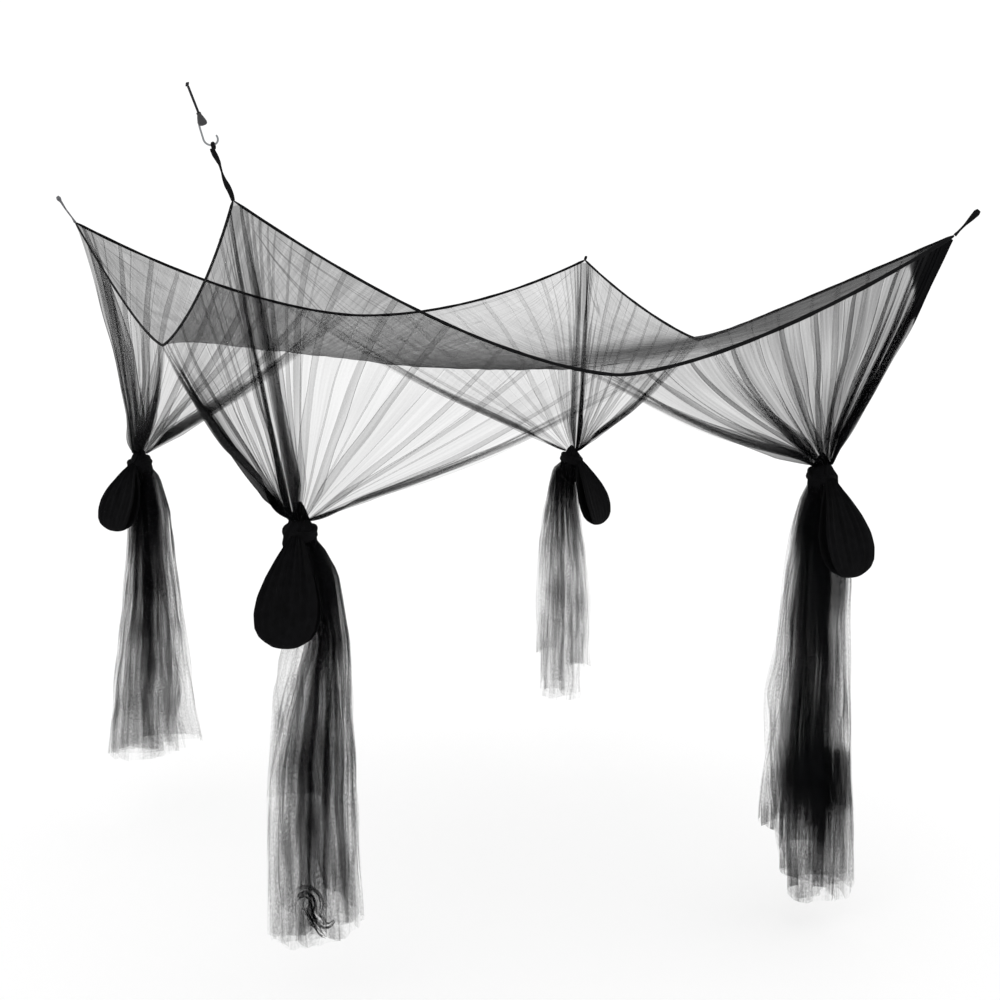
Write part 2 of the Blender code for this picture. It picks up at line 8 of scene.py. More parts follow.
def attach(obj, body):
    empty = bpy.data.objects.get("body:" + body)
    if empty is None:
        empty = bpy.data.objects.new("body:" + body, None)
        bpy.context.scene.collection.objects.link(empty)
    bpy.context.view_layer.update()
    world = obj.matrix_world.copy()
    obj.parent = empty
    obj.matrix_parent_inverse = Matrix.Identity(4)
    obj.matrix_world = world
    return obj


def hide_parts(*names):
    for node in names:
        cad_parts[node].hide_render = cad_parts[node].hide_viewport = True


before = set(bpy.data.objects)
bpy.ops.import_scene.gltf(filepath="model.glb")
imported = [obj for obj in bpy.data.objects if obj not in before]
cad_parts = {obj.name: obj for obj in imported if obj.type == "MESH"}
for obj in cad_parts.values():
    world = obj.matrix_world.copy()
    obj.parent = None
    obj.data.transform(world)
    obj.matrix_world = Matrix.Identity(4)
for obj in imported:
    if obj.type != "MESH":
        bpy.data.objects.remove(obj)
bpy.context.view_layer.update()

# Everything is laid out about the middle of the roof, as in the part's own source, and shifted by TOP.

ROOF_WIDTH = 1.84  # straight from corner to corner
ROOF_LENGTH = 2.02
EDGE_BOW = 0.06  # how far the middle of an edge is drawn in
ROOF_SAG = 2.0  # how much its weight bends the roof, as height per square of its width

UP = np.array((0, 0, 1.0))
# the way the hook pulls at its corner, and the two directions across that
PULL = np.array((-0.434, -0.434, 0.789)) / np.linalg.norm((-0.434, -0.434, 0.789))
SIDE = np.array((0.8406, -0.5100, 0.1815))
FORE = np.cross(PULL, SIDE) / np.linalg.norm(np.cross(PULL, SIDE))

# corner: side in X, side in Y, shift in X, shift in Y, height
CORNERS = {
    "front_left": (-1, -1, 0.008, -0.001, -0.008),
    "front_right": (1, -1, 0.006, -0.002, -0.042),
    "back_right": (1, 1, -0.013, 0.008, -0.049),
    "back_left": (-1, 1, 0.011, -0.004, 0.044),
}

# edge: from, to, sag, where it is lowest, sharpness before that, sharpness after it
EDGES = {
    "front": ("front_left", "front_right", 0.355, 0.505, 1.55, 1.50),
    "back": ("back_left", "back_right", 0.246, 0.500, 1.75, 1.75),
    "left": ("front_left", "back_left", 0.343, 0.500, 1.20, 1.55),
    "right": ("front_right", "back_right", 0.275, 0.555, 1.15, 1.20),
}

# curtain: its two edges and its reach along each, side of the binding, middle of its knot, drop of its tail
CURTAINS = {
    "front_left": (("front", 0.565), ("left", 0.50), 1, (-0.715, -0.797, -0.732), 0.963),
    "front_right": (("front", 0.545), ("right", 0.55), -1, (0.700, -0.794, -0.657), 1.143),
    "back_right": (("back", 0.640), ("right", 0.45), 1, (0.749, 0.792, -0.748), 0.863),
    "back_left": (("back", 0.490), ("left", 0.50), -1, (-0.757, 0.823, -0.712), 0.935),
}

# tail: share of the way down, half width there, shift to the right of the view
TAILS = {
    "front_left": ((0, 0.022, 0.0), (0.04, 0.034, 0.02), (0.1, 0.046, 0.037), (0.27, 0.050, 0.054))
    + ((0.38, 0.069, 0.04), (0.46, 0.080, 0.032), (0.58, 0.099, 0.024), (0.8, 0.108, 0.022))
    + ((1, 0.114, 0.022),),
    "front_right": ((0, 0.026, 0.0), (0.06, 0.049, -0.006), (0.107, 0.06, -0.008), (0.155, 0.071, -0.008))
    + ((0.25, 0.09, -0.008), (0.35, 0.095, -0.016), (0.44, 0.1, -0.016), (0.54, 0.107, -0.018))
    + ((0.63, 0.116, -0.022), (0.73, 0.115, -0.020), (0.81, 0.118, -0.019), (1, 0.117, -0.018)),
    "back_right": ((0, 0.026, 0.0), (0.05, 0.045, -0.022), (0.135, 0.052, -0.027), (0.22, 0.06, -0.029))
    + ((0.3, 0.069, -0.029), (0.42, 0.081, -0.029), (0.67, 0.092, -0.027), (0.8, 0.096, -0.029))
    + ((1, 0.1, -0.027),),
    "back_left": ((0, 0.022, 0.0), (0.05, 0.045, 0.015), (0.18, 0.064, 0.024), (0.35, 0.077, 0.024))
    + ((0.48, 0.09, 0.024), (0.62, 0.106, 0.022), (0.76, 0.122, 0.018), (0.9, 0.134, 0.016), (1, 0.15, 0.02)),
}

# tail: closeness of the net outside and within, how much of it is lost on the way down, the share of the
# tail's width that its dark middle takes, how far right that lies, and the closeness outside by the knot
TAIL_CLOSENESS = {
    "front_left": (2.25, 3.2, 0.40, 0.62, 0.024, 1.1),
    "front_right": (1.7, 6.6, 0.10, 0.38, 0.022, 0.8),
    "back_right": (2.1, 2.4, 0.80, 0.50, 0.014, 0.7),
    "back_left": (3.6, 3.8, 0.95, 0.50, 0.014, 0.7),
}

# tail: level below the knot; there, how close its outside and its middle are, and the excess on its right
TAIL_BANDS = {
    "front_left": ((0, 1, 1, 0.15), (0.74, 1, 1.1, 0.15), (0.84, 0.9, 1.15, 0.25), (1, 0.8, 0.9, 0.3)),
    "front_right": ((0, 1, 1, 0), (0.63, 1, 0.85, 0), (0.655, 2.0, 0.95, 0.65), (0.765, 2.1, 1.0, 0.65))
    + ((0.785, 1.4, 0.55, 0.1), (1, 0.85, 0.27, 0.1)),
    "back_right": ((0, 1, 1, 0), (1, 1, 1, 0)),
    "back_left": ((0, 1, 1, 0), (1, 1, 1, 0)),
}

# how close the net is in the first wing, in the second, at the corner fold and at the top of that fold
CLOSENESS = {
    "front_left": (2.6, 4.4, 0.5, 0.2),
    "front_right": (7.8, 2.7, 0.8, 4.5),
    "back_right": (1.7, 3.6, 1.3, 0.5),
    "back_left": (4.1, 4.2, 0.45, 0.0),
}

# share of the corner fold's closeness that is lost between half way down and the neck
CORNER_EASE = {"front_left": 0.15, "front_right": 0.55, "back_right": 0.3, "back_left": 0.35}

# how far from the corner its fold's closeness reaches, as a share of the rim
CORNER_REACH = {"front_left": 0.022, "front_right": 0.022, "back_right": 0.022, "back_left": 0.07}

# how far the corner's fold stands out beyond the straight line
CORNER_SWELL = {"front_left": 0.0, "front_right": 0.034, "back_right": 0.0, "back_left": 0.0}

# how much closer the net gets from half way along a wing toward the corner
TOWARD_CORNER = {"front_left": 0.0, "front_right": 0.30, "back_right": 0.0, "back_left": 0.0}

# size of the corner's folds; then size and closeness of the folds at the first and the second free end
END_FOLDS = {
    "front_left": (1.15, 1.0, 0.6, 1.9, 1.0),
    "front_right": (1.15, 1.5, 0.3, 1.0, 0.2),
    "back_right": (0.9, 1.0, 0.7, 1.0, 0.6),
    "back_left": (1.0, 1.0, 0.3, 1.2, 0.8),
}

# how much closer the net gets beside the first and the second free end, and how far that reaches
END_GATHER = {
    "front_left": (0.0, 3.0, 0.13),
    "front_right": (-0.25, 0.0, 0.08),
    "back_right": (0.3, 0.3, 0.08),
    "back_left": (0.0, 0.5, 0.08),
}

# hem: how much shorter the cloth is, at shares of its width
HEMS = {
    "front_left": ((0, 0.05), (0.2, 0.04), (0.5, 0.02), (0.695, 0.02), (0.705, 0.32), (0.765, 0.35))
    + ((0.775, 0.05), (1, 0.09)),
    "front_right": ((0, 0.21), (0.165, 0.20), (0.18, 0.05), (0.25, 0.025), (0.45, 0.03), (0.5, 0.06))
    + ((0.6, 0.06), (0.68, 0.025), (0.90, 0.045), (0.92, 0.06), (0.935, 0.20), (1, 0.21)),
    "back_right": ((0, 0.02), (0.09, 0.03), (0.11, 0.18), (0.32, 0.16), (0.34, 0.02), (0.6, 0.0))
    + ((0.62, 0.11), (0.9, 0.13), (0.93, 0.02), (1, 0.02)),
    "back_left": ((0.0, 0.04), (0.2, 0.02), (0.5, 0.0), (0.8, 0.01), (1.0, 0.03)),
}

# bow loop: heading in degrees from +X, tilt, length, width, half of its opening
LOOPS = {
    "front_left": (240, 30, 0.250, 0.140, 0.022),
    "front_right": (272, 24, 0.252, 0.142, 0.022),
    "back_right": (302, 22, 0.222, 0.150, 0.020),
    "back_left": (216, 26, 0.206, 0.140, 0.020),
}

LAYER = 0.003  # how far a curtain's rim lies beside the middle of the binding
RIM_DROP = 0.0028  # and how far below it
CORNER_DROP = 0.012  # the same at the corner itself
BILLOW = 0.016  # how far the fan stands out half way down
FREE_END_SAG = 0.03
CROWDING = 0.22  # how strongly the folds draw together at the ends of each wing
NECK_RISE = 0.030  # where the fan enters the knot: height above the knot's middle, and radius
NECK_RADIUS = 0.021
TAIL_SWEEP = radians(335)  # how far the cloth goes round the tail
CLOTH_ROWS = 46  # rows of points down a fan, and down a tail

# along the hook's pull, from its corner
HOOK_SEAT = 0.129
CONE_BASE = 0.0505  # from the hook's seat
CONE_LENGTH = 0.026
CORD_LENGTH = 0.058
CORD_RADIUS = 0.0025
CORD_KNOT_RADIUS = 0.0045
SEAT = 0.0004  # gap between pieces that touch


def corner(name):
    side_x, side_y, shift_x, shift_y, height = CORNERS[name]
    return np.array((side_x * ROOF_WIDTH / 2 + shift_x, side_y * ROOF_LENGTH / 2 + shift_y, height))


TACKLE = corner("front_left") + PULL * HOOK_SEAT
TOP = TACKLE + PULL * (CONE_BASE + CONE_LENGTH + SEAT + CORD_LENGTH + 2 * CORD_KNOT_RADIUS)


def unit(vectors):
    return vectors / np.maximum(np.linalg.norm(vectors, axis=-1, keepdims=True), 1e-9)


def ramp(values, start, stretch):
    """0 up to the start, then rising to 1 over the next stretch."""
    return np.clip((values - start) / stretch, 0, 1)


def near(distance, reach):
    """1 at no distance, fading smoothly to almost nothing at twice the reach."""
    return np.exp(-((distance / reach) ** 2))


def read_off(table, places):
    """The later columns of a table, read off at these places along its first column."""
    first, *others = np.array(table, float).T
    return [np.interp(places, first, column) for column in others]


def about_upright(radius, angle, height):
    """Points at this radius, angle and height about an upright line through the origin."""
    flat = (radius * np.cos(angle), radius * np.sin(angle))
    return np.stack(np.broadcast_arrays(*flat, height), axis=-1)


def run_lengths(path):
    """How far along a path each of its points lies."""
    return np.concatenate(([0.0], np.cumsum(np.linalg.norm(np.diff(path, axis=0), axis=1))))


def inward(edge):
    middle = (corner(EDGES[edge][0]) + corner(EDGES[edge][1])) / 2
    return unit(np.array((-middle[0], -middle[1], 0.0)))


def edge_curve(edge, share):
    """Points on the hanging line of an edge, for an array of shares."""
    start_name, end_name, sag, lowest, sharp_before, sharp_after = EDGES[edge]
    share = np.asarray(share, float)
    start, end = corner(start_name), corner(end_name)
    before = share < lowest
    rise = np.where(before, share / lowest, (1 - share) / (1 - lowest))
    power = np.where(before, sharp_before, sharp_after)
    points = start + (end - start) * share[..., None]
    points = points + inward(edge) * (EDGE_BOW * 4 * share * (1 - share))[..., None]
    points[..., 2] -= sag * (1 - (1 - np.clip(rise, 0, 1)) ** power)
    return points


def smooth_noise(shape, seed, cells):
    """Smooth values between -1 and 1 over a grid of this shape, with about this many swells each way."""
    rng = np.random.default_rng(seed)
    coarse = rng.uniform(-1, 1, (cells[0] + 3, cells[1] + 3))
    across = np.linspace(0, cells[0], shape[0])
    along = np.linspace(0, cells[1], shape[1])

    def blend_along(table, where, axis):
        index = np.minimum(where.astype(int), table.shape[axis] - 3)
        rest = where - index
        rest = rest * rest * (3 - 2 * rest)
        low = np.take(table, index, axis=axis)
        high = np.take(table, index + 1, axis=axis)
        rest = rest[:, None] if axis == 0 else rest[None, :]
        return low * (1 - rest) + high * rest

    return blend_along(blend_along(coarse, across, 0), along, 1)


# Materials


def feed(tree, made, values):
    """Put a number, a colour or another node's output into each socket, given by name or number."""
    for name, value in values.items():
        if isinstance(value, bpy.types.NodeSocket):
            tree.links.new(value, made.inputs[name])
        else:
            made.inputs[name].default_value = value


def node(tree, kind, x, y, values=None, **settings):
    made = tree.nodes.new(kind)
    made.location = (x, y)
    for key, value in settings.items():
        setattr(made, key, value)
    feed(tree, made, values or {})
    return made


def math_node(tree, x, y, operation, *values):
    return node(tree, "ShaderNodeMath", x, y, dict(enumerate(values)), operation=operation).outputs[0]


def reckon(tree, x, y, value, *steps):
    """A row of math nodes: each step is an operation and its second value, if it has one."""
    for number, (operation, *second) in enumerate(steps):
        value = math_node(tree, x + 160 * number, y, operation, value, *second)
    return value


def new_material(name, **values):
    """A material whose shader has these values; a space in a socket's name is written _."""
    made = bpy.data.materials.new(name)
    made.use_nodes = True
    tree = made.node_tree
    shader = tree.nodes["Principled BSDF"]
    feed(tree, shader, {key.replace("_", " "): value for key, value in values.items()})
    return made, tree, shader


def stretched_noise(tree, uv, x, y, scale, detail, start=(0, 0, 0)):
    """Noise over a map of the cloth, as fine along it and across it as the scale says."""
    stretch = node(tree, "ShaderNodeMapping", x, y, {"Vector": uv, "Location": start, "Scale": scale})
    values = {"Vector": stretch.outputs["Vector"], "Scale": 1.0, "Detail": detail}
    return node(tree, "ShaderNodeTexNoise", x + 200, y, values).outputs["Fac"]


def corner_rays(tree):
    """Thin creases that run out from each corner of the roof, where it is pulled."""
    uv = node(tree, "ShaderNodeUVMap", -1500, -900, uv_map="rays").outputs["UV"]
    swell = stretched_noise(tree, uv, -1300, -900, (6.5, 0.4, 1), 0.0)
    bands = reckon(tree, -900, -900, swell, ("MULTIPLY", 7.0), ("FRACT",), ("SUBTRACT", 0.5), ("ABSOLUTE",))
    values = {"Value": bands, "From Min": 0.07, "From Max": 0.02, "To Max": 0.55}
    line = node(tree, "ShaderNodeMapRange", -260, -900, values)
    away = node(tree, "ShaderNodeSeparateXYZ", -900, -1100, {"Vector": uv}).outputs["Y"]
    values = {"Value": away, "From Min": 0.25, "From Max": 0.78, "To Min": 1.0, "To Max": 0.0}
    fade = node(tree, "ShaderNodeMapRange", -700, -1100, values)
    return math_node(tree, -100, -900, "MULTIPLY", line.outputs["Result"], fade.outputs["Result"])


CLEAR = 0.935  # share of light that one flat layer of the net lets through
NET_BLACK = (0.0025, 0.0025, 0.003, 1)


def net_material(name, streak_strength, grain_strength, least, seed, rays=False):
    """Sheer black net: how much shows through goes by how closely the cloth is gathered there."""
    made, tree, shader = new_material(name, Base_Color=NET_BLACK, Roughness=0.85, Specular_IOR_Level=0.05)
    gather = node(tree, "ShaderNodeAttribute", -1100, 200, attribute_name="gather").outputs["Fac"]
    crease = node(tree, "ShaderNodeAttribute", -1100, 0, attribute_name="crease").outputs["Fac"]
    uv = node(tree, "ShaderNodeUVMap", -1500, -250, uv_map="cloth").outputs["UV"]
    streaks = stretched_noise(tree, uv, -1300, -250, (120, 2.2, 1), 3.0, (seed * 3.7, seed * 1.9, 0))
    flecks = stretched_noise(tree, uv, -1300, -600, (330, 130, 1), 1.0)
    swing = reckon(tree, -850, -250, streaks, ("SUBTRACT", 0.5), ("MULTIPLY", streak_strength))
    # the grain fades where the cloth is dense
    fading = math_node(tree, -680, -700, "DIVIDE", 9.0, math_node(tree, -850, -700, "ADD", gather, 6.0))
    steps = (("SUBTRACT", 0.5), ("MULTIPLY", grain_strength), ("MULTIPLY", fading))
    grain = reckon(tree, -850, -500, flecks, *steps)
    uneven = reckon(tree, -520, -300, swing, ("ADD", grain), ("ADD", 1.0), ("MAXIMUM", least))
    depth = math_node(tree, -100, 100, "MULTIPLY", gather, uneven)
    through = math_node(tree, 60, 100, "POWER", CLEAR, depth)
    if rays:
        crease = math_node(tree, -100, -80, "MAXIMUM", crease, corner_rays(tree))
    unfolded = math_node(tree, 60, -80, "SUBTRACT", 1.0, crease)
    through = math_node(tree, 220, 60, "MULTIPLY", through, unfolded)
    feed(tree, shader, {"Alpha": math_node(tree, 380, 60, "SUBTRACT", 1.0, through)})
    shader.location = (560, 100)
    tree.nodes["Material Output"].location = (880, 100)
    return made


def surface_noise(tree, scale, detail):
    """Where a point lies on its piece, and the wear there."""
    place = node(tree, "ShaderNodeTexCoord", -900, 0).outputs["Object"]
    wear = node(tree, "ShaderNodeTexNoise", -650, 150, {"Vector": place, "Scale": scale, "Detail": detail})
    return place, wear.outputs["Fac"]


def add_bump(tree, shader, height, strength, distance):
    values = {"Height": height, "Strength": strength, "Distance": distance}
    bump = node(tree, "ShaderNodeBump", -300, -300, values)
    feed(tree, shader, {"Normal": bump.outputs["Normal"]})


def woven_material(name, colour, scale, roughness=0.8, shine=0.25):
    """Closely woven tape: fine ribs along its own coordinates, with a little wear."""
    made, tree, shader = new_material(name, Roughness=roughness, Specular_IOR_Level=shine)
    place, wear = surface_noise(tree, 60, 4)
    values = {"Vector": place, "Scale": scale, "Distortion": 1.5}
    ribs = node(tree, "ShaderNodeTexWave", -650, -200, values, bands_direction="DIAGONAL")
    ramp = node(tree, "ShaderNodeValToRGB", -400, 150, {"Fac": wear})
    worn, fresh = ramp.color_ramp.elements
    worn.position, fresh.position = 0.35, 0.75
    worn.color = (*(part * 0.7 for part in colour), 1)
    fresh.color = (*(min(part * 1.7, 1) for part in colour), 1)
    feed(tree, shader, {"Base Color": ramp.outputs["Color"]})
    add_bump(tree, shader, ribs.outputs["Fac"], 0.5, 0.0006)
    return made


def plain_material(name, colour, roughness, metallic, wear_scale):
    made, tree, shader = new_material(name, Base_Color=(*colour, 1), Metallic=metallic)
    _, wear = surface_noise(tree, wear_scale, 5)
    values = {"Value": wear, "To Min": roughness * 0.75, "To Max": min(roughness * 1.35, 1)}
    feed(tree, shader, {"Roughness": node(tree, "ShaderNodeMapRange", -400, -100, values).outputs["Result"]})
    add_bump(tree, shader, wear, 0.15, 0.0003)
    return made


roof_net = net_material("roof_net", 1.4, 0.7, 0.5, 5, rays=True)
curtain_net = net_material("curtain_net", 1.8, 0.5, 0.6, 1)
tail_net = net_material("tail_net", 5.5, 2.6, 0.25, 2)
gathered_net = woven_material("gathered_net", (0.0022, 0.0022, 0.0026), 900, 0.9, 0.08)
black_tape = woven_material("black_tape", (0.003, 0.003, 0.0035), 1400, 0.85, 0.12)
grey_tape = woven_material("grey_tape", (0.14, 0.14, 0.15), 1400)
bright_wire = plain_material("bright_wire", (0.24, 0.25, 0.26), 0.3, 1.0, 700)
black_plastic = plain_material("black_plastic", (0.018, 0.018, 0.02), 0.4, 0.0, 500)
braided_cord = woven_material("braided_cord", (0.012, 0.012, 0.014), 1800)


# Making sheets and tubes


def finish_piece(piece, name, material, smooth_angle=None):
    piece.name = name
    piece.data.name = name
    if material:
        piece.data.materials.clear()
        piece.data.materials.append(material)
    piece.data.polygons.foreach_set("use_smooth", [True] * len(piece.data.polygons))
    if smooth_angle:
        piece.data.set_sharp_from_angle(angle=radians(smooth_angle))
    piece.data.update()
    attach(piece, "root")


def grid_piece(points, close_columns=False, close_rows=False):
    """A grid primitive whose points are moved to the given array of points, columns by rows."""
    if close_columns:
        points[-1] = points[0]
    if close_rows:
        points[:, -1] = points[:, 0]
    columns, rows = points.shape[:2]
    bpy.ops.mesh.primitive_grid_add(x_subdivisions=columns - 1, y_subdivisions=rows - 1, size=1)
    piece = bpy.context.object
    flat = np.zeros(columns * rows * 3)
    piece.data.vertices.foreach_get("co", flat)
    flat = flat.reshape(-1, 3)
    column = np.rint((flat[:, 0] + 0.5) * (columns - 1)).astype(int)
    row = np.rint((flat[:, 1] + 0.5) * (rows - 1)).astype(int)
    piece.data.vertices.foreach_set("co", (points[column, row] - TOP).ravel())
    if close_columns or close_rows:
        weld = piece.modifiers.new("Closed seam", "WELD")
        weld.merge_threshold = 0.00002
        bpy.ops.object.modifier_apply(modifier=weld.name)
    return piece, column, row


def put_attribute(piece, name, values):
    made = piece.data.attributes.new(name, "FLOAT", "POINT")
    made.data.foreach_set("value", np.ascontiguousarray(values, dtype=np.float32))


def put_uv(piece, name, across, along):
    """A UV map from two values for each point. The one called cloth is in metres and comes first."""
    mesh = piece.data
    while name == "cloth" and mesh.uv_layers:
        mesh.uv_layers.remove(mesh.uv_layers[0])
    layer = mesh.uv_layers.new(name=name)
    loop_vertex = np.zeros(len(mesh.loops), int)
    mesh.loops.foreach_get("vertex_index", loop_vertex)
    uv = np.stack((across[loop_vertex], along[loop_vertex]), axis=1)
    layer.data.foreach_set("uv", uv.ravel())


def net_piece(points, gather, crease):
    """A sheet of net with its gathering, its creases and its map of the cloth."""
    piece, column, row = grid_piece(points)
    put_attribute(piece, "gather", gather[column, row])
    put_attribute(piece, "crease", crease[column, row])
    across, along = run_lengths(points[:, points.shape[1] // 3]), run_lengths(points[points.shape[0] // 2])
    put_uv(piece, "cloth", across[column], along[row])
    return piece, column, row


def join_pieces(first, others):
    bpy.ops.object.select_all(action="DESELECT")
    for piece in (first, *others):
        piece.select_set(True)
    bpy.context.view_layer.objects.active = first
    bpy.ops.object.join()
    return first


def tube_piece(points, radius, sides=12, radii=None):
    """A smooth round tube along the points, closed at both ends, as a mesh."""
    bpy.ops.curve.primitive_bezier_curve_add()
    piece = bpy.context.object
    curve = piece.data
    curve.splines.clear()
    spline = curve.splines.new("POLY")
    spline.points.add(len(points) - 1)
    for index, point in enumerate(points):
        spline.points[index].co = (*(np.asarray(point) - TOP), 1)
        spline.points[index].radius = 1 if radii is None else radii[index]
    curve.dimensions = "3D"
    curve.bevel_depth = radius
    curve.bevel_resolution = max(sides // 2 - 2, 1)
    curve.use_fill_caps = True
    bpy.ops.object.convert(target="MESH")
    return bpy.context.object


def band_piece(path, upright, half_high, half_thick, sides=16, ridges=0.0, ridge_count=5):
    """A closed band of oval section along a path; its ends are drawn to points."""
    path = np.asarray(path, float)
    forward = unit(np.gradient(path, axis=0))
    upright = np.broadcast_to(upright, path.shape)
    upright = unit(upright - forward * (upright * forward).sum(axis=1, keepdims=True))
    through = np.cross(forward, upright)
    angle = np.linspace(0, 2 * pi, sides + 1)
    high = np.broadcast_to(half_high, len(path))[:, None] * np.cos(angle)[None, :]
    thick = np.broadcast_to(half_thick, len(path))[:, None] * np.sin(angle)[None, :]
    thick = thick * (1 + ridges * np.sin(ridge_count * angle)[None, :])
    points = path[:, None] + upright[:, None] * high[..., None] + through[:, None] * thick[..., None]
    tips = [np.repeat(path[place, None, None], sides + 1, axis=1) for place in (0, -1)]
    points = np.concatenate((tips[0], points, tips[1]))
    return grid_piece(points, close_rows=True)[0]


def ring_piece(centre, first, second, rising, angle, reach, rise):
    """A closed ring whose spokes turn from the first direction to the second."""
    spoke = first * np.cos(angle)[:, None] + second * np.sin(angle)[:, None]
    points = centre + spoke[:, None] * reach[..., None] + rising * rise[..., None]
    return grid_piece(points, close_columns=True, close_rows=True)[0]


# Camera

# where it stands, how it is turned, tipped and rolled, and its focal length in pixels of a 1000 pixel frame
VIEW = (-1.759, -4.323, -0.230, radians(23.58), radians(-6.68), radians(0.13), 1622.4)


def make_camera():
    x, y, z, yaw, pitch, roll, focal = VIEW
    ahead = np.array((sin(yaw) * cos(pitch), cos(yaw) * cos(pitch), sin(pitch)))
    right = np.array((cos(yaw), -sin(yaw), 0))
    up = np.cross(right, ahead)
    right, up = right * cos(roll) + up * sin(roll), up * cos(roll) - right * sin(roll)
    bpy.ops.object.camera_add(location=np.array((x, y, z)) - TOP)
    camera = bpy.context.object
    camera.name = "view_camera"
    turned = np.stack((right, up, -ahead), axis=1)
    camera.rotation_euler = Matrix(turned.tolist()).to_euler()
    camera.data.sensor_width = 36
    camera.data.lens = focal * 36 / 1000
    camera.data.clip_end = 100
    bpy.context.scene.camera = camera
    return right


VIEW_RIGHT = make_camera() * (1, 1, 0)


# The hook, its cord and its knot


def tackle_point(up, sideways):
    return TACKLE + PULL * up + SIDE * sideways


def stand_along_pull(piece, middle, shape):
    """Move a piece made at the origin to its place on the hook's line, reshaped by a 3 by 3 table."""
    axes = np.stack((SIDE, FORE, PULL), axis=1) @ np.array(shape)
    for vertex in piece.data.vertices:
        vertex.co = middle + axes @ np.array(vertex.co) - TOP


def make_cord():
    start = CONE_BASE + CONE_LENGTH + SEAT / 2
    route = [tackle_point(start + CORD_LENGTH * step / 16, 0) for step in range(17)]
    cord = tube_piece(route, CORD_RADIUS, sides=16)
    finish_piece(cord, "elastic_cord", braided_cord, 50)
    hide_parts("hook_cord")
    knot_middle = route[-1] + PULL * (CORD_KNOT_RADIUS + SEAT / 2)
    bpy.ops.mesh.primitive_torus_add(
        location=(0, 0, 0), major_segments=28, minor_segments=14, major_radius=0.0024, minor_radius=0.0021
    )
    turn = bpy.context.object
    stand_along_pull(turn, knot_middle, ((1, 0, 0), (0, 0.95, 0), (0.55, 0, 1.1)))
    bpy.ops.mesh.primitive_uv_sphere_add(segments=20, ring_count=12, radius=0.0031, location=(0, 0, 0))
    core = bpy.context.object
    stand_along_pull(core, knot_middle, np.diag((1, 1, 1.3)))
    knot = join_pieces(turn, [core])
    finish_piece(knot, "cord_end_knot", braided_cord, 60)
    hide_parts("cord_knot")


make_cord()


# Curtains

# pleat: where it is along the wing from the free end to the corner, which way it lies over,
# and how far it stands at the rim, half way, low and at the neck
FREE_END = (
    (0.004, 1, 0.008, 0.034, 0.036, 0.006),
    (0.012, 1, 0.010, 0.044, 0.044, 0.006),
    (0.024, 1, 0.006, 0.028, 0.040, 0.006),
    (0.040, 1, 0.012, 0.036, 0.040, 0.006),
    (0.060, 1, 0.008, 0.018, 0.030, 0.006),
    (0.084, -1, 0.006, 0.014, 0.022, 0.006),
)
CORNER_END = (
    (0.870, -1, 0.005, 0.010, 0.016, 0.006),
    (0.900, 1, 0.005, 0.012, 0.018, 0.006),
    (0.925, -1, 0.006, 0.018, 0.022, 0.006),
    (0.945, -1, 0.007, 0.012, 0.020, 0.006),
    (0.962, -1, 0.006, 0.022, 0.026, 0.006),
    (0.976, -1, 0.008, 0.016, 0.024, 0.006),
    (0.988, -1, 0.006, 0.024, 0.028, 0.006),
)
BROAD_END = (
    (0.900, 1, 0.004, 0.006, 0.010, 0.005),
    (0.950, -1, 0.008, 0.040, 0.036, 0.006),
    (0.982, -1, 0.016, 0.072, 0.056, 0.006),
)
PLEATS_BETWEEN = 13
RIM_START = 0.006  # where the rim leaves the corner, as a share of the edge
RIM_STEPS = 80
PLEAT_GAP = 0.0011  # half of a pleat's width at its root, as a share of the rim
PLEAT_LEVELS = (0, 0.5, 0.85, 1)  # how far down the four sizes of a pleat hold
CREST = (0.0, 0.5, 0.9, 1.0, 0.9, 0.5, 0.0)  # the height on a pleat of the columns that make it
CREST_CREASE = 0.42
EDGE_CREASE = 0.6
TAIL_EDGE_CREASE = 0.25


